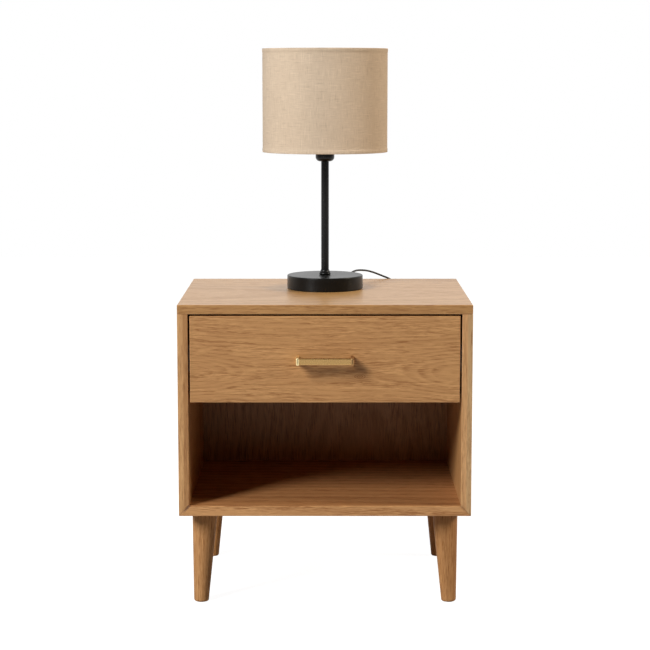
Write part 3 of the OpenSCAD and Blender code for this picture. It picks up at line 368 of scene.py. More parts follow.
def plainMaterial(name, color, roughness, metallic=0.0, spread=0.05, grain=900.0, bump=0.00003,
                  bumpStrength=0.4, shade=0.12, specular=0.5, lines=None):
    # One color, from shade darker to shade lighter in soft patches. lines draws a noise out into
    # fine marks along the piece's own map.
    material, shader, coords = startMaterial(name)
    finish = useGroup(handledFinish, vector=coords["Object"], roughness=roughness, spread=spread,
                      grain=grain)
    height = finish["height"]
    if lines:
        height = coords["UV"].noise(lines) * 0.5 + height
    feed(shader, {"Base Color": mixColor(finish["mask"], *twoTones(color, shade)),
                  "Roughness": finish["roughness"], "Normal": height.bump(bump, bumpStrength),
                  "Metallic": metallic, "Specular IOR Level": specular})
    return material


def putMesh(name, shape, body, material, replaced, uvs=None, sharp=38):
    # Builds a closed mesh from points and faces, points its faces outwards and lets it ride on
    # its body. The cord has none. replaced names the nodes that the piece stands for.
    verts, faces = shape
    mesh = bpy.data.meshes.new(name)
    mesh.from_pydata(np.asarray(verts).tolist(), [], faces)
    if uvs is not None:
        layer = mesh.uv_layers.new(name="surfaceMap")
        layer.data.foreach_set("uv", np.asarray(uvs, np.float32).ravel())
    work = bmesh.new()
    work.from_mesh(mesh)
    bmesh.ops.recalc_face_normals(work, faces=work.faces)
    work.to_mesh(mesh)
    work.free()
    mesh.shade_smooth()
    mesh.set_sharp_from_angle(angle=math.radians(sharp))
    mesh.materials.append(material)
    piece = addToScene(name, mesh)
    if body:
        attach(piece, body)
    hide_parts(*replaced.split())
    return piece


def secondMaterial(piece, material, faceMask):
    # The faces in the mask get the second material.
    piece.data.materials.append(material)
    piece.data.polygons.foreach_set("material_index", faceMask.astype(np.int32))


def joinShells(shells):
    # Several closed shells in one mesh: later face numbers are raised by the earlier counts.
    verts, faces, start = [], [], 0
    for points, polygons in shells:
        verts.append(points)
        faces += [[i + start for i in f] for f in polygons]
        start += len(points)
    return np.concatenate(verts), faces


def loft(rings, closed=False):
    # Rings of one point count are joined in turn, and closed joins the last to the first.
    # Otherwise both ends get a cap.
    r = np.asarray(rings, float)
    rows, count = r.shape[:2]
    a, c = np.mgrid[:rows if closed else rows - 1, :count]
    b, d = (a + 1) % rows, (c + 1) % count
    quads = np.stack([a * count + c, a * count + d, b * count + d, b * count + c], -1)
    faces = quads.reshape(-1, 4).tolist()
    if not closed:
        faces += [list(range(count))[::-1], list(range((rows - 1) * count, rows * count))]
    return r.reshape(-1, 3), faces


def gridMap(places, columns, width):
    # The map of a loft's faces: columns are width apart, and rows lie at their places.
    row, column = np.mgrid[:len(places) - 1, :columns]
    return np.stack([np.stack([(column + right) * width, places[row + up]], -1)
                     for right, up in ((0, 0), (1, 0), (1, 1), (0, 1))], -2).reshape(-1, 2)


def unit(vectors):
    # Each vector over its own length.
    return vectors / np.linalg.norm(vectors, axis=1)[:, None]


def ease(t):
    # 3 t squared less 2 t cubed, held at 0 and 1 outside that range.
    t = np.clip(t, 0, 1)
    return t * t * (3 - 2 * t)


# Extra points close beside a rounding keep the shading of the flat part next to it flat.
guardSize = 0.0004
faceGuard = 0.0008
wallGuard = 0.0005
smallestRadius = 0.00005


def roundedOutline(corners, radii, inset, steps):
    # Corners move inwards along their bisectors, and an arc that touches both sides replaces each.
    c = np.asarray(corners, float)
    before, after = unit(c - np.roll(c, 1, 0)), unit(np.roll(c, -1, 0) - c)
    n0 = np.stack([-before[:, 1], before[:, 0]], 1)
    n1 = np.stack([-after[:, 1], after[:, 0]], 1)
    middle = (n0 + n1) / (1 + (n0 * n1).sum(1))[:, None]
    r = np.maximum(np.broadcast_to(radii, len(c)) - inset, smallestRadius)
    centre = c + middle * (inset + r)[:, None]
    start = np.arctan2(-n0[:, 1], -n0[:, 0])
    turn = np.arctan2(before[:, 0] * after[:, 1] - before[:, 1] * after[:, 0],
                      (before * after).sum(1))
    angle = start[:, None] + turn[:, None] * np.linspace(0, 1, steps + 1)
    arc = centre[:, None] + r[:, None, None] * np.stack([np.cos(angle), np.sin(angle)], -1)
    lead = arc[:, :1] - before[:, None] * guardSize
    tail = arc[:, -1:] + after[:, None] * guardSize
    return np.concatenate([lead, arc, tail], 1).reshape(-1, 2)


def ringsAt(steps, corners, radii, axes=(0, 2, 1), arcSteps=6):
    # For each inset and level, the rounded outline at that level. axes says which coordinates
    # the outline's two and the level become.
    rings = [np.insert(roundedOutline(corners, radii, inset, arcSteps), 2, level, axis=1)
             for inset, level in steps]
    return np.stack(rings)[..., np.argsort(axes)]


def endSteps(at, size, way, arcSteps=4):
    # Insets and levels of a quarter circle from an end face round to the side wall.
    phi = np.radians(np.linspace(90, 0, arcSteps + 1))
    return list(zip([size + faceGuard, *size * (1 - np.cos(phi)), 0],
                    [at, *at + way * size * (1 - np.sin(phi)), at + way * (size + wallGuard)]))


def softPrism(corners, radii, low, high, edge, axes, arcSteps=4):
    # The outline goes from low to high and draws in along a quarter circle near each end.
    edgeLow, edgeHigh = edge if isinstance(edge, tuple) else (edge, edge)
    steps = endSteps(low, edgeLow, 1, arcSteps) + endSteps(high, edgeHigh, -1, arcSteps)[::-1]
    return loft(ringsAt(steps, corners, radii, axes, arcSteps))


def rectangle(x0, z0, x1, z1):
    # Its four corners, from the lower left one round to the upper left one.
    return [(x0, z0), (x1, z0), (x1, z1), (x0, z1)]


def centred(x, z, width, height):
    # A rectangle by its middle and its two sizes.
    return rectangle(x - width / 2, z - height / 2, x + width / 2, z + height / 2)


def guarded(profile, closed):
    # On each long side, two points more: its ends moved inwards by the guard size.
    p = np.asarray(profile, float)
    following = np.roll(p, -1, 0)
    size = np.linalg.norm(following - p, axis=1)[:, None]
    step = (following - p) * guardSize / np.maximum(size, 1e-9)
    trio = np.stack([p, p + step, following - step], 1)
    wanted = np.repeat(size > 5 * guardSize, 3, 1)
    wanted[:, 0] = True
    if not closed:
        wanted[-1, 1:] = False
    return trio[wanted]


def arcPoints(centre, radius, fromAngle, toAngle, steps=8):
    # The centre plus the radius times cosine and sine, at even angles in degrees.
    a = np.radians(np.linspace(fromAngle, toAngle, steps + 1))
    return np.stack([centre[0] + radius * np.cos(a), centre[1] + radius * np.sin(a)], 1).tolist()


def lathe(profile, centre, segments, closed=False, guards=True):
    # Radius and height pairs go once round a vertical line: X and Y are the centre's plus the
    # radius times cosine and sine. A fine curve needs no guard points.
    prof = guarded(profile, closed) if guards else np.asarray(profile, float)
    angle = np.linspace(0, 2 * np.pi, segments, endpoint=False)
    r, z = prof[:, :1], prof[:, 1:]
    x = centre[0] + r * np.cos(angle)
    y = centre[1] + r * np.sin(angle)
    return loft(np.stack([x, y, np.broadcast_to(z, x.shape)], -1), closed)


def smoothPath(points, steps):
    # Each stretch is the cubic that passes through its ends with slopes set by their neighbours.
    p = np.asarray(points, float)
    ext = np.concatenate([[2 * p[0] - p[1]], p, [2 * p[-1] - p[-2]]])
    a, b, c, d = ext[:-3, None], ext[1:-2, None], ext[2:-1, None], ext[3:, None]
    t = np.linspace(0, 1, steps, endpoint=False)[None, :, None]
    curve = 0.5 * (2 * b + (c - a) * t + (2 * a - 5 * b + 4 * c - d) * t ** 2
                   + (3 * b - a - 3 * c + d) * t ** 3)
    return np.concatenate([curve.reshape(-1, 3), p[-1:]])


def lengthAlong(path):
    # Distance from the start at each point.
    gaps = np.linalg.norm(np.diff(path, axis=0), axis=1)
    return np.concatenate([[0], np.cumsum(gaps)])


def resampled(path, spacing):
    # Points at even distances along the path.
    along = lengthAlong(path)
    at = np.linspace(0, along[-1], int(along[-1] / spacing) + 2)
    return np.stack([np.interp(at, along, path[:, i]) for i in range(3)], 1)


def tubeAlong(path, radius, sides, hint=(0, 0, 1)):
    # Rings square to the path. Their first axis is the hint without its part along the path,
    # and the second is square to both.
    p = np.asarray(path, float)
    tangent = unit(np.gradient(p, axis=0))
    h = np.broadcast_to(hint, p.shape)
    u = unit(h - (h * tangent).sum(1)[:, None] * tangent)
    v = np.cross(tangent, u)
    r = np.broadcast_to(radius, len(p))[:, None, None]
    angle = np.linspace(0, 2 * np.pi, sides, endpoint=False)[None, :, None]
    return loft(p[:, None] + r * (np.cos(angle) * u[:, None] + np.sin(angle) * v[:, None]))


def turnedTo(points, tiltX, tiltY, place):
    # Each point turns about X, then about Y, and moves to its place.
    cx, sx, cy, sy = math.cos(tiltX), math.sin(tiltX), math.cos(tiltY), math.sin(tiltY)
    aboutX = np.array([[1, 0, 0], [0, cx, -sx], [0, sx, cx]])
    aboutY = np.array([[cy, 0, sy], [0, 1, 0], [-sy, 0, cy]])
    return points @ aboutX.T @ aboutY.T + np.asarray(place, float)


print("cord")
lampAxis = (0.0, 0.059)
# Routes in millimetres, measured back from the cabinet's front.
cordSetup = {"diameter": 0.0036, "sides": 14, "length": 1.783, "exitTurn": 65,
             "exitHeight": 0.539, "baseRadius": 0.0685, "exitDepth": 0.002,
             "reliefLength": 0.024, "reliefDepth": 0.0015, "reliefRadius": 0.0040,
             "reliefTaper": 0.0014, "grooves": 7, "grooveDepth": 0.00055, "grooveStart": 0.16,
             "grooveRun": 0.70, "ringSpacing": 0.0016, "standingHint": (0.9, -0.35, 0.25),
             "lyingHint": (0, 0, 1), "lyingBelow": 0.10, "standingAbove": 0.08,
             "switch": (0.190, 0.229, 0.330), "switchLength": 0.060,
             "upperEnd": (0.134, 0.2265, 0.518)}
upperRoute = np.array([
    (45, 346, 541), (51, 358, 544.8), (59, 371, 546.6), (68, 383, 546), (79, 394, 544),
    (90, 402.5, 540.4), (101, 408.5, 535.8), (112, 412.5, 531), (123, 415.5, 526),
    (134, 417.5, 518), (145, 418.5, 506.5), (155, 419, 491), (164, 419.5, 473),
    (172, 420, 450), (179, 420, 425), (185, 420, 400), (188.8, 420, 382), (190, 420, 366)]) / 1000
lowerRoute = np.array([
    (190, 420, 294), (191.2, 420, 276), (194, 420, 250), (198, 420, 220), (203, 420, 185),
    (207, 420, 150), (210, 420, 115), (211, 420, 85), (211, 420, 55), (211, 421, 36),
    (211, 424.6, 21), (211, 431.6, 10), (211, 441, 4.4), (211, 450, 3), (211, 458.4, 3)]) / 1000
hankSetup = {"middleX": 0.231445, "nearY": 0.271, "run": 0.070, "outerRadius": 0.020445,
             "foldRadius": 0.0109, "step": 0.0047727, "low": 0.003, "layer": 0.0042, "waist": 0.12,
             "foldAt": 48, "end": 100}
plugSetup = {"y": 0.399, "width": 0.035, "height": 0.013, "length": 0.030, "corner": 0.0045,
             "nose": 0.0028, "faceEdge": 0.0012, "narrower": (0.0050, 0.0010), "taperEnd": 0.62,
             "grooves": 4, "grooveDepth": 0.00045, "grooveStart": 0.16, "grooveRun": 0.40,
             "pinPitch": 0.0186, "sleeveEnd": 0.0099, "tail": (0.008, 0.046), "cordInside": 0.004}


def hankPoint(i):
    # Ring i, 24 to a loop: 4 on the run away, 8 round a half circle, 4 on the run back and 8
    # round the other half circle. The radius shrinks by one step a loop on the lower layer and
    # grows again on the upper one. A raised cosine draws both runs in towards the tie.
    h = hankSetup
    k, past = i % 24, i - h["foldAt"]
    radius = np.where(past <= 0, h["outerRadius"] - h["step"] * i / 24,
                      h["foldRadius"] + h["step"] * past / 24)
    height = h["low"] + h["layer"] * np.clip(past / 4, 0, 1)
    farY = h["nearY"] + h["run"]
    runY = np.where(k < 4, h["nearY"] + h["run"] * k / 4, farY - h["run"] * (k - 12) / 4)
    drawn = 1 - h["waist"] * (1 - np.cos(2 * np.pi * (runY - h["nearY"]) / h["run"])) / 2
    onRun = (k < 4) | ((k >= 12) & (k < 16))
    turn = np.where(k < 12, np.pi * (1 - (k - 4) / 8), -np.pi * (k - 16) / 8)
    side = np.where(k < 4, -1.0, 1.0)
    x = h["middleX"] + np.where(onRun, side * radius * drawn, radius * np.cos(turn))
    y = np.where(onRun, runY, np.where(k < 12, farY, h["nearY"]) + radius * np.sin(turn))
    return np.stack([x, y, height], -1)


def wholeCordPath():
    # Base, table's edge, switch, floor, coil and plug, as one line with even steps.
    c, plug = cordSetup, plugSetup
    turn = math.radians(c["exitTurn"])
    way = np.array([math.cos(turn), math.sin(turn), 0])
    tip = np.array([*lampAxis, c["exitHeight"]]) + (c["baseRadius"] + c["reliefLength"]) * way
    shift = np.array([0, cabinetFront, 0])
    upper = smoothPath(np.vstack([tip + c["diameter"] * way, upperRoute + shift]), 10)
    # Inside the switch the lead bows back to clear the rocker.
    half = c["switchLength"] / 2
    bow = np.array([(0, 0, half), (0, -0.0022, 0.016), (0, -0.0032, 0), (0, -0.0022, -0.016),
                    (0, 0, -half)])
    inside = smoothPath(np.array(c["switch"]) + bow, 6)
    lower = smoothPath(lowerRoute + shift, 10)
    hank = hankPoint(np.arange(0, hankSetup["end"] + 0.01, 0.25))
    last = hank[-1]
    t = np.linspace(0, 1, 25)[:, None]
    plugX, plugZ = hankSetup["middleX"], plug["height"] / 2
    gap, run = plug["tail"]
    tail = last + np.concatenate([(plugX - last[0]) * ease(t), gap + run * t,
                                  -(last[2] - plugZ) * ease(t)], 1)
    end = np.array([[plugX, plug["y"] + plug["cordInside"], plugZ]])
    start = [tip - c["exitDepth"] * way]
    whole = np.vstack([start, upper, inside, lower, hank, tail, end])
    return tip, way, resampled(whole, c["ringSpacing"])


def makeCord():
    # A smooth sheath with fine drawing lines along it. Its first column turns from the standing
    # hint to the lying one where the cord comes down to the floor. The end caps have no map.
    c = cordSetup
    sheath = plainMaterial("cordSheath", (0.015, 0.0145, 0.0135), 0.48, spread=0.10, grain=1400.0,
                           bump=0.00004, shade=1 / 3, lines=(2600, 40, 1))
    lying = ease((c["lyingBelow"] - cordLine[:, 2:]) / c["standingAbove"])
    hint = np.array(c["standingHint"]) * (1 - lying) + np.array(c["lyingHint"]) * lying
    width = np.pi * c["diameter"] / c["sides"]
    uvs = np.concatenate([gridMap(lengthAlong(cordLine), c["sides"], width),
                          np.zeros((2 * c["sides"], 2))])
    return putMesh("lamp_cord", tubeAlong(cordLine, c["diameter"] / 2, c["sides"], hint), None,
                   sheath, "upper_cord lower_cord cord_hank cord_tail", uvs, sharp=60)


def makeRelief():
    # A sleeve that tapers evenly. Its grooves are a raised cosine along it.
    c = cordSetup
    s = np.linspace(0, 1, 120)
    inGrooves = np.clip((s - c["grooveStart"]) / c["grooveRun"], 0, 1)
    groove = c["grooveDepth"] * (0.5 - 0.5 * np.cos(2 * np.pi * inGrooves * c["grooves"]))
    back = c["reliefLength"] + c["reliefDepth"]
    line = reliefTip + back * (s[:, None] - 1) * reliefWay
    sleeve = tubeAlong(line, c["reliefRadius"] - c["reliefTaper"] * s - groove, 32)
    putMesh("strain_relief", sleeve, "lamp", sheathBlack, "cord_strain_relief",
            sharp=50)


reliefTip, reliefWay, cordLine = wholeCordPath()
print("cord length", round(float(lengthAlong(cordLine)[-1]), 4))
cordPiece = makeCord()
sheathBlack = plainMaterial("sheathBlack", (0.016, 0.015, 0.014), 0.46, spread=0.08, grain=1200.0)
makeRelief()

print("switch and plug")
switchSetup = {"width": 0.024, "depth": 0.007, "corner": 0.004, "edge": 0.0018, "wall": 0.0018,
               "seam": 0.00025, "seamGap": 0.00005, "slotWidth": 0.0100, "slotLength": 0.0194,
               "slotCorner": 0.001, "slotEdge": 0.0005, "ear": 0.0024, "earLength": 0.0052,
               "pivotY": 0.2328, "rockerWidth": 0.0094, "rockerHalf": 0.0085, "rockerFace": 0.0036,
               "rockerHollow": 0.0008, "rockerTilt": 8, "pinRadius": 0.0012, "pinTip": 0.0009,
               "pinHalf": 0.0063}


def makeSwitch():
    # Two trays meet at a fine seam. The cover's face has a slot with a rocker in it.
    w = switchSetup
    x, y, z = cordSetup["switch"]
    shell = centred(x, z, w["width"], cordSetup["switchLength"])
    slot = centred(x, z, w["slotWidth"], w["slotLength"])
    casing = plainMaterial("switchCasing", (0.018, 0.018, 0.017), 0.38, spread=0.08, grain=1700.0,
                           bump=0.00005)

    def tray(way):
        # From the face round the edge, down the wall, over the seam and back inside.
        seamY, innerY = y + way * w["seamGap"], y + way * (w["depth"] - w["wall"])
        steps = endSteps(y + way * w["depth"], w["edge"], -way, 6)
        steps += [(0, seamY + way * w["seam"]), (w["seam"], seamY), (w["wall"], seamY),
                  (w["wall"], innerY)]
        return ringsAt(steps, shell, w["corner"]), innerY

    putMesh("switch_back", loft(tray(-1)[0]), "cabinet", casing,
            "switch_back_half")
    rings, innerY = tray(1)
    faceY, soft = y + w["depth"], w["slotEdge"]
    mouth = ringsAt([(0, innerY), (0, faceY - soft), (-0.3 * soft, faceY - 0.3 * soft),
                     (-soft, faceY)], slot, w["slotCorner"])
    shells = [loft(np.concatenate([mouth, rings]), closed=True)]
    half, ear = w["slotWidth"] / 2, w["earLength"] / 2
    for side in (-1, 1):
        inner, outer = sorted((side * (half + 0.0001), side * (half + w["ear"])))
        outline = rectangle(x + inner, w["pivotY"] - w["ear"], x + outer, faceY - 0.001)
        shells.append(softPrism(outline, 0.0003, z - ear, z + ear, 0.0002, (0, 1, 2)))
    putMesh("switch_cover", joinShells(shells), "cabinet", casing,
            "switch_cover_half")
    # The rocker's face is a shallow hollow between two raised ends.
    part = np.linspace(-1, 1, 15)
    hollow = np.stack([w["rockerFace"] + w["rockerHollow"] * part ** 2, w["rockerHalf"] * part], 1)
    outline = np.vstack([[(-0.002, -0.004), (0, -0.007)], hollow, [(0, 0.007), (-0.002, 0.004)]])
    rocker = softPrism(outline, 0.0002, -w["rockerWidth"] / 2, w["rockerWidth"] / 2, 0.0007,
                       (1, 2, 0))
    end, tip, full = w["pinHalf"], w["pinTip"], w["pinRadius"]
    pin = tubeAlong([(at, 0, 0) for at in (-end, 0.0002 - end, end - 0.0002, end)],
                    (tip, full, full, tip), 24)
    points, faces = joinShells([rocker, pin])
    points = turnedTo(points, math.radians(w["rockerTilt"]), 0, (x, w["pivotY"], z))
    grip = plainMaterial("rockerGrip", (0.028, 0.027, 0.026), 0.52, spread=0.10, grain=2400.0,
                         bump=0.00012)
    putMesh("rocker_key", (points, faces), "rocker", grip, "switch_rocker")


makeSwitch()
# A pin's outline: how far each ring lies past the plug's face, and its radius.
pinOutline = np.array([(-0.0010, 0.00185), (0.0098, 0.00185), (0.0099, 0.00175), (0.0100, 0.0020),
                       (0.0172, 0.0020), (0.0180, 0.0018), (0.0186, 0.0014), (0.0190, 0.0005)])


def makePlug():
    # The body narrows to the cord, with finger grooves. Each pin has a sleeve and a bare tip.
    g = plugSetup
    middle = np.array([hankSetup["middleX"], g["height"] / 2])
    faceY = g["y"] + g["length"]
    between = np.linspace(g["y"] + g["nose"] + 0.0012, faceY - g["faceEdge"] - 0.0010, 70)
    insets, levels = np.array(endSteps(g["y"], g["nose"], 1, 6) + [(0, y) for y in between]
                              + endSteps(faceY, g["faceEdge"], -1)[::-1]).T
    t = (levels - g["y"]) / g["length"]
    sizes = np.array([g["width"], g["height"]]) \
        - 2 * np.array(g["narrower"]) * (1 - ease(t / g["taperEnd"]))[:, None]
    inGrooves = np.clip((t - g["grooveStart"]) / g["grooveRun"], 0, 1)
    insets = insets + g["grooveDepth"] * (1 - np.cos(2 * np.pi * g["grooves"] * inGrooves))
    rings = [ringsAt([step], centred(*middle, *size), g["corner"])[0]
             for size, step in zip(sizes, zip(insets, levels))]
    shell = plainMaterial("plugShell", (0.019, 0.018, 0.017), 0.42, spread=0.08, grain=1500.0,
                          bump=0.00005)
    putMesh("plug_shell", loft(rings), "cabinet", shell, "plug_body", sharp=50)
    along, radius = pinOutline.T
    shells = []
    for side in (-1, 1):
        x = np.full(len(along), middle[0] + side * g["pinPitch"] / 2)
        path = np.stack([x, faceY + along, np.full(len(along), middle[1])], 1)
        shells.append(tubeAlong(path, radius, 32))
    nickel = plainMaterial("nickelTips", (0.60, 0.58, 0.54), 0.22, metallic=1.0, spread=0.08)
    pins = putMesh("plug_prongs", joinShells(shells), "cabinet", nickel,
                   "plug_pins")
    centre = np.empty(len(pins.data.polygons) * 3)
    pins.data.polygons.foreach_get("center", centre)
    secondMaterial(pins, shell, centre[1::3] < faceY + g["sleeveEnd"])


makePlug()
tieSetup = {"low": (0.2102, 0.302, 0.0), "high": (0.2506, 0.310, 0.0102), "thick": 0.0009,
            "corner": 0.002}


def makeTie():
    # A strap round the coil's waist with softened edges.
    t = tieSetup
    (x0, y0, z0), (x1, y1, z1), thick = t["low"], t["high"], t["thick"]
    outline = rectangle(x0, z0, x1, z1)
    steps = ((0, y0 + 0.0004), (0, y1 - 0.0004), (0.0002, y1), (thick - 0.0001, y1),
             (thick, y1 - 0.0003), (thick, y0 + 0.0003), (thick - 0.0001, y0), (0.0002, y0))
    rings = ringsAt(steps, outline, t["corner"])
    strap = plainMaterial("strapNylon", (0.026, 0.026, 0.027), 0.78, spread=0.06, grain=3200.0,
                          bump=0.0002, bumpStrength=0.7, shade=0.3, specular=0.25)
    putMesh("coil_strap", loft(rings, closed=True), "cabinet", strap, "hank_tie")


makeTie()

print("boards")
# Sizes in metres. The outlines follow the boards' own planes and the mitres at the lower corners.
cabinetSetup = {"halfWidth": 0.250, "innerX": 0.232, "rearY": 0.219, "floorZ": 0.163,
                "bottomTop": 0.181, "underTop": 0.511, "topZ": 0.527, "arris": 0.0014,
                "panelArris": 0.00084, "mitreEdge": 0.0003}
frontSetup = {"halfWidth": 0.229, "lowZ": 0.360, "highZ": 0.508, "thickness": 0.018,
              "arris": 0.0013, "corner": 0.0008}
# For each front edge: the X from which a tint holds. The bottom edge's brighter tint undoes
# most of the painted shade that the bottom board's own tint lays on it.
frontEdgeTints = {"top": [(-0.3, (0.86, 0.77, 0.70))], "bottom": [(-0.3, (1.31, 1.47, 1.53))],
            "left": [(-0.3, (1.12, 1.16, 1.24)), (-0.2405, (0.80, 0.74, 0.68))],
            "right": [(0.2, (1.24, 1.29, 1.44)), (0.2415, (1.08, 1.26, 1.55))]}


def makeBoards():
    # Each board is its outline carried along its own length, with softened edges.
    c, f = cabinetSetup, frontSetup
    wide, inner, low, under = c["halfWidth"], c["innerX"], c["floorZ"], c["underTop"]

    def panel(name, outline, wood, node):
        # A board whose outline, seen from the front, runs from the front edge to the rear.
        shape = softPrism(outline, c["mitreEdge"], cabinetFront, c["rearY"], c["panelArris"],
                          (0, 2, 1))
        putMesh(name, shape, "cabinet", wood, node)

    wood = oakMaterial("oakTop", "x", (0.31, 0.05, 0.0), depth=0.055, offset=0.03, taper=0.03,
                       spacing=0.0075, wave=0.012, figure=0.18, streaks=0.90, pores=0.8,
                       tint=(1.0, 1.07, 1.03), gloss=0.30, edge=frontEdgeTints["top"])
    outline = rectangle(cabinetFront, under, c["rearY"], c["topZ"])
    putMesh("table_top", softPrism(outline, c["arris"], -wide, wide, c["arris"], (1, 2, 0)),
            "cabinet", wood, "top_panel")
    for side, name in ((-1, "left"), (1, "right")):
        wood = oakMaterial(name + "SideOak", "z", (0.7 * side, 0.11 * side, 0.02), depth=0.06,
                           offset=0.05 * side, taper=0.035, spacing=0.008, figure=0.18,
                           streaks=0.70, pores=0.8, edge=frontEdgeTints[name], mitred=True)
        outline = [(side * x, z) for x, z in ((inner, c["bottomTop"]), (wide, low), (wide, under),
                                              (inner, under))]
        panel(name + "_side", outline[::side], wood, name + "_side_panel")
    # Painted shade: the tint darkens the whole bottom board, which floors the open shelf, and
    # takes out more green and blue than red. Its front edge's brighter tint undoes most of that.
    wood = oakMaterial("bottomOak", "x", (1.7, 0.3, 0.01), depth=0.05, offset=-0.04, taper=0.03,
                       spacing=0.021, figure=0.36, streaks=0.90, pores=0.9,
                       tint=(0.82, 0.70, 0.665), edge=frontEdgeTints["bottom"], mitred=True)
    panel("bottom_board", [(-wide, low), (wide, low), (inner, c["bottomTop"]),
                           (-inner, c["bottomTop"])], wood, "bottom_panel")
    wood = oakMaterial("drawerFrontOak", "xFlat", (0.0, 0.0, 0.0), depth=0.2106, offset=-0.414,
                       taper=-0.008, bow=0.15, spacing=0.0080, wave=0.009, figure=0.21,
                       streaks=0.78, pores=0.95, knot=(0.059, -0.405, -0.191), knotSize=0.006,
                       eyes=(0.215, 0.410, 0.191), eyeSize=0.020, tint=(1.0, 0.97, 0.94))
    outline = rectangle(-f["halfWidth"], f["lowZ"], f["halfWidth"], f["highZ"])
    shape = softPrism(outline, f["corner"], cabinetFront, cabinetFront + f["thickness"],
                      f["arris"], (0, 2, 1))
    putMesh("drawer_face", shape, "drawer", wood, "drawer_front")


makeBoards()

print("legs")
legTints = {"front_left": (1.03, 0.99, 1.00), "rear_left": (1.22, 1.08, 0.92),
            "front_right": (0.88, 0.81, 0.77), "rear_right": (0.89, 0.73, 0.60)}
legSetup = {"footX": 0.216, "rowsY": {"front": -0.142, "rear": 0.170}, "height": 0.163,
            "glide": 0.001, "splay": 0.0075, "topRadius": 0.0222, "footRadius": 0.013,
            "footEdge": 0.005, "below": 0.0015, "above": (0.0003, 0.006), "segments": 72}


def makeLegs():
    # A straight taper turned about a line that leans outward at the foot. The foot's edge is a
    # quarter circle, and both ends are cut level.
    s = legSetup
    tilt = math.atan(s["splay"] / s["height"])
    length = (s["height"] - s["glide"]) / math.cos(tilt)
    foot = arcPoints((s["footRadius"] - s["footEdge"], s["footEdge"] - s["below"]),
                     s["footEdge"], -90, 0)
    wider, longer = s["above"]
    profile = [(s["below"], -s["below"])] + foot + [
        (s["topRadius"], length), (s["topRadius"] + wider, length + longer)]
    points, faces = lathe(profile, (0, 0), s["segments"])
    for index, place in enumerate(legTints):
        row, sideName = place.split("_")
        side, lean = (-1 if sideName == "left" else 1), (-1 if row == "front" else 1)
        leg = turnedTo(points, lean * tilt, -side * tilt,
                       (side * s["footX"], s["rowsY"][row], s["glide"]))
        leg[:, 2] = np.clip(leg[:, 2], s["glide"], s["height"])
        wood = oakMaterial(row + sideName.capitalize() + "LegOak", "z",
                           (0.9 + index * 0.7, 0.2 * index, 0.05 * index), depth=0.045,
                           offset=0.02 * (index - 1.5), taper=0.02, spacing=0.006, figure=0.18,
                           streaks=0.75, pores=0.8, tint=legTints[place], gloss=0.60,
                           specular=0.25)
        putMesh("turned_leg_" + place, (leg, faces), "cabinet", wood, "leg_" + place)


makeLegs()

print("handle")
# postLightTints paints a highlight on the left post and shade on the right one.
handleSetup = {"postX": 0.046, "postWidth": 0.006, "postHeight": 0.013, "postCorner": 0.0022,
               "postEdge": 0.0021, "reach": 0.028, "z": 0.434, "barHeight": 0.011,
               "barThickness": 0.009, "barCorner": 0.0009, "barSet": 0.0008,
               "brass": (0.46, 0.285, 0.110), "contrast": 0.10, "dull": 0.26, "lineDull": 0.22,
               "lines": (60, 2500, 2500), "postLightFrom": 0.0028, "postLightTo": 0.0016,
               "postLightTints": {-1: (1.9, 2.5, 3.5), 1: (0.85, 0.78, 0.85)}, "postDull": 0.14}


def brassMaterial():
    # Fine parallel lines: a noise drawn out along the bar moves the tone and the roughness.
    h = handleSetup
    material, shader, coords = startMaterial("satinBrass")
    here = coords["Object"]
    lines = here.noise(h["lines"], detail=3.0, roughness=0.6)
    patch = useGroup(handledFinish, vector=here, roughness=h["dull"], spread=0.05, grain=500.0)
    color = mixColor(lines, *twoTones(h["brass"], h["contrast"]))
    dull = (lines - 0.5) * h["lineDull"] + patch["roughness"]
    # Painted highlight and shade: the left post is painted much paler than the bar,
    # the right post a little darker. Both posts are also rougher than the bar.
    for side, tint in h["postLightTints"].items():
        near = (here.parts()[0] * side).ramp(0.0, 1.0, h["postX"] - h["postLightFrom"],
                                             h["postX"] - h["postLightTo"])
        color = mixColor(near, color, tinted(color, tint))
        dull = near * h["postDull"] + dull
    feed(shader, {"Base Color": color, "Roughness": dull, "Normal": lines.bump(0.00002, 0.5),
                  "Metallic": 1.0})
    return material


def makeHandle():
    # Two flat posts stand on the drawer's face and carry a bar between them.
    h = handleSetup
    tipY = cabinetFront - h["reach"]
    posts = [softPrism(centred(side * h["postX"], h["z"], h["postWidth"], h["postHeight"]),
                       h["postCorner"], tipY, cabinetFront, (h["postEdge"], 0.0001), (0, 2, 1), 8)
             for side in (-1, 1)]
    barY = tipY + h["barSet"] + h["barThickness"] / 2
    inner = h["postX"] - h["postWidth"] / 2 + 0.0005
    bar = softPrism(centred(barY, h["z"], h["barThickness"], h["barHeight"]), h["barCorner"],
                    -inner, inner, 0.0001, (1, 2, 0), 5)
    putMesh("bar_handle", joinShells(posts + [bar]), "drawer", brassMaterial(),
            "drawer_handle")


makeHandle()

print("lamp")
lampSetup = {"topZ": 0.527, "baseHeight": 0.025, "baseWall": 0.0018, "baseEdge": 0.0016,
             "feltProud": 0.001, "pipeRadius": 0.0048, "pipeGap": 0.0003, "stemRadius": 0.007,
             "collarRadius": 0.0105, "collarHeight": 0.009, "beadRadius": 0.0022,
             "coveRadius": 0.0044, "cupBottom": 0.757, "cupRadius": 0.0169, "cupHeight": 0.036,
             "cupFoot": 0.0078, "cupWall": 0.001}


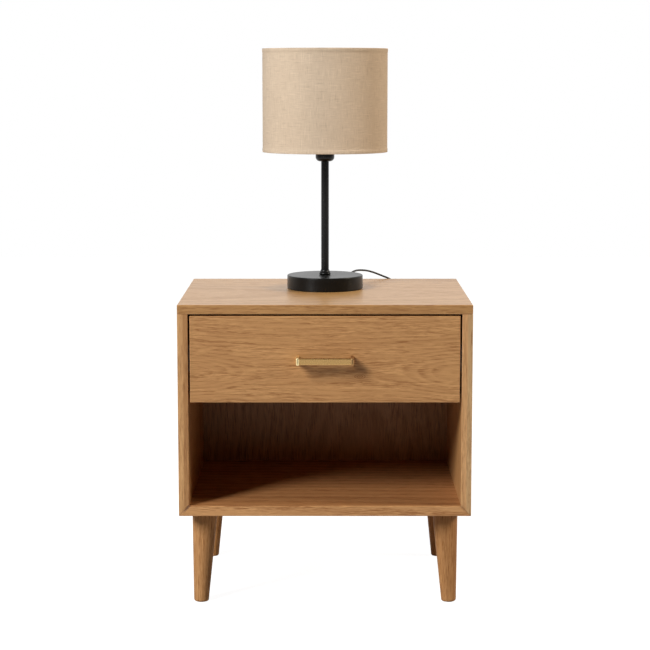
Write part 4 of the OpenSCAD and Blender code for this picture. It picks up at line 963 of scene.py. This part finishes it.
def makeLampMetal():
    # Four turned pieces in satin enamel, each a profile that goes once round the lamp's line.
    s = lampSetup
    black = plainMaterial("satinBlack", (0.00725, 0.00725, 0.0069), 0.31, spread=0.06, grain=700.0,
                          bumpStrength=0.25, shade=0.2414, specular=0.26)
    r, wall, edge = cordSetup["baseRadius"], s["baseWall"], s["baseEdge"]
    low, top = s["topZ"] + s["feltProud"], s["topZ"] + s["baseHeight"]
    bore, stem = s["pipeRadius"] + s["pipeGap"], s["stemRadius"]
    # The base cover: a shallow drum, open below, with a rounded upper edge.
    base = [(r - wall, low), (r, low)] + arcPoints((r - edge, top - edge), edge, 0, 90) + [
        (bore, top), (bore, top - wall), (r - wall, top - wall)]
    tube = rectangle(bore + 0.0005, top, stem, s["cupBottom"])
    # The collar: a bead at the foot and a cove that runs out against the stem.
    bead, collarTop = s["beadRadius"], top + s["collarHeight"]
    collar = [(stem + 0.0001, top)] \
        + arcPoints((s["collarRadius"] - bead, top + bead), bead, -80, 60, 10) \
        + arcPoints((stem + s["coveRadius"] + 0.0008, collarTop), s["coveRadius"], 235, 180) \
        + [(stem + 0.0001, collarTop)]
    # The socket cup: rounded foot, straight wall, open above with a rolled lip.
    z, foot, w = s["cupBottom"], s["cupFoot"], s["cupWall"]
    centre, high = (s["cupRadius"] - foot, z + foot), z + s["cupHeight"]
    cup = [(bore, z)] + arcPoints(centre, foot, -90, 0, 10) \
        + arcPoints((s["cupRadius"] - w / 2, high - w / 2), w / 2, 0, 180) \
        + arcPoints(centre, foot - w, 0, -90, 10) + [(bore, z + w)]
    for name, profile, segments, node in (
            ("base_drum", base, 160, "lamp_base_cover"), ("stem_tube", tube, 64, "lamp_stem"),
            ("stem_collar", collar, 72, "lamp_collar"), ("lamp_cup", cup, 96, "socket_cup")):
        putMesh(name, lathe(profile, lampAxis, segments, closed=True), "lamp", black,
                node)


makeLampMetal()
holderSetup = {"bore": 0.0049, "low": 0.758, "radius": 0.0155, "footRadius": 0.005,
               "floor": 0.767, "threadLow": 0.782, "threadHigh": 0.8045, "threadPitch": 0.0025,
               "threadDepth": 0.00022, "mouth": 0.0141, "high": 0.806}
# The clamp ring's radius and height pairs: a flange, then a skirt whose three outer points flute.
clampOutline = [(0.0158, 0.795), (0.0200, 0.795), (0.0204, 0.7954), (0.0204, 0.7966),
                (0.0200, 0.7970), (0.0181, 0.7970), (0.0179, 0.7974), (0.0179, 0.8024),
                (0.0175, 0.8030), (0.0161, 0.8030), (0.0158, 0.8027)]
clampSetup = {"segments": 360, "flutes": 30, "fluteDepth": 0.0006, "fluted": slice(6, 9)}


def makeHolder():
    # The holder: a moulded cylinder. The thread on its upper half is a raised cosine of height.
    s = holderSetup
    white = plainMaterial("mouldedWhite", (0.76, 0.75, 0.71), 0.34, spread=0.06, shade=0.04)
    z = np.linspace(s["threadLow"], s["threadHigh"], 91)
    wave = 1 - np.cos(2 * np.pi * (z - s["threadLow"]) / s["threadPitch"])
    thread = np.stack([s["radius"] - s["threadDepth"] * wave, z], 1).tolist()
    foot = arcPoints((s["radius"] - s["footRadius"], s["low"] + s["footRadius"]),
                     s["footRadius"], -90, 0)
    profile = [(s["bore"], s["low"])] + foot + thread + [
        (0.0152, s["high"]), (0.0143, s["high"]), (s["mouth"], s["high"] - 0.0003),
        (s["mouth"], s["floor"]), (s["bore"], s["floor"])]
    putMesh("holder_shell", lathe(profile, lampAxis, 96, closed=True), "lamp", white,
            "lamp_holder")
    # The ring that clamps the shade. Its flutes draw the skirt in by a raised cosine.
    c = clampSetup
    points, faces = lathe(clampOutline, lampAxis, c["segments"], closed=True, guards=False)
    skirt = points.reshape(-1, c["segments"], 3)[c["fluted"]]
    turn = np.arctan2(skirt[..., 1] - lampAxis[1], skirt[..., 0])
    shrink = c["fluteDepth"] * (0.5 - 0.5 * np.cos(c["flutes"] * turn))
    skirt[..., :2] -= shrink[..., None] * np.stack([np.cos(turn), np.sin(turn)], -1)
    putMesh("clamp_ring", (points, faces), "lamp", white, "shade_ring", sharp=30)


makeHolder()
shadeSetup = {"radius": 0.1125, "low": 0.774, "high": 0.958, "cloth": 0.001, "hem": 0.007,
              "hemProud": 0.00045, "seamWidth": 0.012, "seamProud": 0.0005, "segments": 384,
              "threads": 1500.0, "slub": 0.9, "dark": (0.54, 0.395, 0.265, 1),
              "light": (0.83, 0.655, 0.480, 1)}


def linenMaterial():
    # Undyed linen on a stiff liner, both thread sets showing slubs.
    s = shadeSetup
    material, shader, coords = startMaterial("shadeLinen")
    cloth = useGroup(plainWeave, vector=coords["UV"], threads=s["threads"], slub=s["slub"])
    tone = (coords["UV"].noise((14, 14, 1)) - 0.5) * 0.25 + cloth["tone"]
    feed(shader, {"Base Color": mixColor(tone, s["dark"], s["light"]), "Roughness": 0.86,
                  "Specular IOR Level": 0.2, "Sheen Weight": 0.12, "Sheen Roughness": 0.5,
                  "Normal": cloth["height"].bump(0.00025, 0.6)})
    return material


def makeShade():
    # A drum of cloth: the radius is constant but for the folded hems at both rims and the lapped
    # seam at the back, which stands out by an eased step on each side. away is the way round
    # from the seam's middle. Outer and inner walls share one closed grid.
    s = shadeSetup
    segments, low, high, hem, radius = s["segments"], s["low"], s["high"], s["hem"], s["radius"]
    rim = np.array([0.0003, 0.001, hem - 0.0006, hem, hem + 0.0005])
    steps = np.concatenate([low + rim, np.linspace(low + hem + 0.004, high - hem - 0.004, 40),
                            high - rim[::-1]])
    edge = np.minimum(steps - low, high - steps)
    inset = s["hemProud"] * ease((edge - hem + 0.0006) / 0.0009)
    inset = inset + np.where(edge < 0.0005, 0.0001, 0)
    inner = radius - s["cloth"]
    innerSteps = [high - 0.0002, *np.linspace(high - 0.004, low + 0.004, 20), low + 0.0002]
    profile = np.vstack([np.stack([radius - inset, steps], 1), [(radius - s["cloth"] / 2, high)],
                         [(inner, z) for z in innerSteps], [(radius - s["cloth"] / 2, low)]])
    row = np.arange(len(profile))
    u = np.linspace(0, 2 * np.pi, segments, endpoint=False) + np.pi / 2
    away = np.abs((u - np.pi / 2 + np.pi) % (2 * np.pi) - np.pi) * radius
    seam = s["seamProud"] * (1 - ease((away - s["seamWidth"] / 2 + 0.0008) / 0.0016))
    r = profile[:, :1] + np.where(row[:, None] < len(steps), seam, 0)
    x, y = lampAxis[0] + r * np.cos(u), lampAxis[1] + r * np.sin(u)
    rings = np.stack([x, y, np.broadcast_to(profile[:, 1:], x.shape)], -1)
    uvs = gridMap(np.append(profile[:, 1], low + rim[0]), segments, 2 * np.pi * radius / segments)
    piece = putMesh("linen_drum", loft(rings, closed=True), "shade", linenMaterial(),
                    "shade_fabric", uvs, sharp=60)
    liner = plainMaterial("shadeLiner", (0.74, 0.70, 0.62), 0.62, spread=0.06, grain=1500.0,
                          shade=0.04, specular=0.35)
    secondMaterial(piece, liner, np.repeat((row >= len(steps)) & (row < len(row) - 1), segments))


makeShade()
bulbSetup = {"low": 0.7956, "neckTop": 0.808, "neckRadius": 0.0127, "globeZ": 0.8486,
             "globeRadius": 0.030, "wall": 0.001}


def makeBulb():
    # Neck, flare and globe as one profile, with a thin wall. The flare is part straight and part
    # eased from the neck's radius to the globe's.
    b = bulbSetup

    def outline(shrink):
        globe = arcPoints((0, b["globeZ"]), b["globeRadius"] - shrink, -52, 88, 28)
        lift = np.linspace(0, 1, 9)[1:-1, None]
        start, end = np.array([b["neckRadius"] - shrink, b["neckTop"]]), np.array(globe[0])
        flare = start + (end - start) * np.hstack([ease(lift) * 0.35 + lift * 0.65, lift])
        return np.vstack([[(start[0], b["low"])], [start], flare, globe])

    profile = np.vstack([outline(0), outline(b["wall"])[::-1]])
    glass = plainMaterial("opalGlass", (0.86, 0.85, 0.81), 0.16, spread=0.03, grain=300.0,
                          bump=0.00001, shade=0.02)
    putMesh("opal_bulb", lathe(profile, lampAxis, 72, closed=True, guards=False), "lamp", glass,
            "bulb_glass", sharp=70)


makeBulb()
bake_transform(cordPiece)
tuple(reliefTip - cordSetup["exitDepth"] * reliefWay)

print("finishes for the parts that keep their own shape")
runnerZinc = plainMaterial("runnerZinc", (0.15, 0.155, 0.16), 0.42, metallic=1.0, spread=0.12,
                           grain=260.0)
# By the name of a node, or else by the name of its slot.
finishes = {
    "zinc_steel": plainMaterial("zincPlate", (0.34, 0.35, 0.36), 0.36, metallic=1.0, spread=0.12,
                                grain=260.0),
    "ball_steel": plainMaterial("polishedSteel", (0.62, 0.62, 0.63), 0.12, metallic=1.0,
                                spread=0.03),
    "glide_plastic": plainMaterial("glidePlastic", (0.045, 0.042, 0.040), 0.48, spread=0.08),
    "contact_brass": plainMaterial("contactBrass", (0.62, 0.46, 0.20), 0.28, metallic=1.0,
                                   spread=0.08),
    "iron": plainMaterial("dippedIron", (0.05, 0.05, 0.05), 0.55, spread=0.12, grain=350.0,
                          bump=0.0001),
    "felt": plainMaterial("blackFelt", (0.020, 0.020, 0.021), 0.95, spread=0.03, grain=2600.0,
                          bump=0.0003, bumpStrength=0.8, shade=0.35, specular=0.1),
    "white_paint": plainMaterial("whitePaint", (0.74, 0.73, 0.69), 0.38, spread=0.08, grain=420.0,
                                 shade=0.05),
    "beech_dowel": oakMaterial("beechDowel", "x", (0, 0, 0), tones="pale", figure=0.1,
                               streaks=0.3),
    "pale_wood": oakMaterial("paleWood", "y", (0.2, 0.1, 0), tones="pale", figure=0.18,
                             streaks=0.30),
    "runner_cabinet_members": runnerZinc,
    "runner_middle_members": runnerZinc,
    "runner_drawer_members": runnerZinc,
    # Painted shade: the tint darkens the back panel, which closes the open shelf, and takes out
    # blue.
    "back_panel": oakMaterial("backOak", "zSide", (0.4, 0.0, 0.0), depth=0.02, offset=0.07,
                              taper=0.10, spacing=0.010, figure=0.26, streaks=0.8, pores=0.9,
                              tint=(0.74, 0.68, 0.50)),
    "divider_panel": oakMaterial("dividerOak", "x", (3.3, 0.2, 0.0), taper=0.03, figure=0.25),
}
# The wires are black. So are the nodes that a piece stands for, which aren't seen.
for subpart in frame["record"]["subparts"]:
    name = subpart["node"]
    finish = finishes.get(name) or finishes.get(subpart["material_slot"], sheathBlack)
    data = frame["nodes"][name].data
    data.materials.clear()
    data.materials.append(finish)

print("floor and lights")
lightTarget = (0, 0, 0.45)
lights = {
    "keyLight": {"power": 440.0, "place": (-3.96, -4.09, 3.92), "size": (1.7, 3.2),
                 "color": (0.97, 0.985, 1.0)},
    "topLight": {"power": 26.0, "place": (0.3, 0.9, 4.2), "size": (2.0, 2.0),
                 "color": (1.0, 0.96, 0.90)},
    "fillLight": {"power": 262.0, "place": (5.5, -0.5, 3.8), "size": (2.0, 2.0),
                  "color": (1.0, 0.87, 0.71)},
}
paperSetup = {"size": 12, "tone": (0.30, 0.30, 0.30), "seenTone": (0.9, 0.9, 0.9),
              "mottle": 0.985, "glow": 0.97}
worldSetup = {"level": 0.01, "gloss": 0.05}


def seenMask(tree):
    # Two masks: camera, gloss and glass rays against diffuse ones, and camera rays alone.
    path = addNode(tree, "ShaderNodeLightPath")
    others = path["Is Glossy Ray"].math("MAXIMUM", path["Is Transmission Ray"])
    return path["Is Camera Ray"].math("MAXIMUM", others), path["Is Camera Ray"]


def makeFloor():
    # Camera, gloss and glass see the paper with a glow added, so that it is white where nothing
    # shades it. Diffuse rays see it as it is lit.
    p = paperSetup
    material, shader, coords = startMaterial("floorPaper")
    seen, _ = seenMask(material.node_tree)
    mottled = coords["Object"].noise(detail=3.0, scale=3.0)
    paper = mixColor(mottled, tuple(c * p["mottle"] for c in p["tone"]) + (1,), p["tone"] + (1,))
    feed(shader, {"Base Color": mixColor(seen, paper, tinted(paper, p["seenTone"])),
                  "Emission Color": (1, 1, 1, 1), "Emission Strength": seen * p["glow"],
                  "Roughness": 0.9, "Specular IOR Level": 0.0})
    mesh = bpy.data.meshes.new("floor")
    corners = [(x, y, 0) for x, y in centred(0, 0, p["size"], p["size"])]
    mesh.from_pydata(corners, [], [(0, 1, 2, 3)])
    mesh.materials.append(material)
    addToScene("floor", mesh)


def makeLights():
    # Oval area lamps, all turned to one point on the object.
    for name, light in lights.items():
        data = bpy.data.lights.new(name, "AREA")
        data.energy, data.color = light["power"], light["color"]
        data.shape = "ELLIPSE"
        data.size, data.size_y = light["size"]
        lamp = addToScene(name, data)
        lamp.location = light["place"]
        way = Vector(lightTarget) - Vector(light["place"])
        lamp.rotation_euler = way.to_track_quat("-Z", "Y").to_euler()


def makeWorld():
    # The camera sees white. Gloss sees white behind the object and a dim room in front of it,
    # with a smooth step between them. Diffuse rays see almost black, so the lamps do the lighting.
    world = bpy.data.worlds.new("studio")
    bpy.context.scene.world = world
    world.use_nodes = True
    tree = world.node_tree
    tree.nodes.clear()
    seen, byCamera = seenMask(tree)
    heading = addNode(tree, "ShaderNodeTexCoord")["Generated"].parts()[1]
    room = heading.ramp(worldSetup["gloss"], 1.0, -0.25, 0.35, smooth=True)
    level = seen.ramp(worldSetup["level"], room).math("MAXIMUM", byCamera)
    background = addNode(tree, "ShaderNodeBackground", {"Color": (1, 1, 1, 1), "Strength": level})
    feed(tree.nodes.new("ShaderNodeOutputWorld"), {0: background[0]})


makeFloor()
makeLights()
makeWorld()
bpy.context.scene.view_settings.view_transform = "Standard"
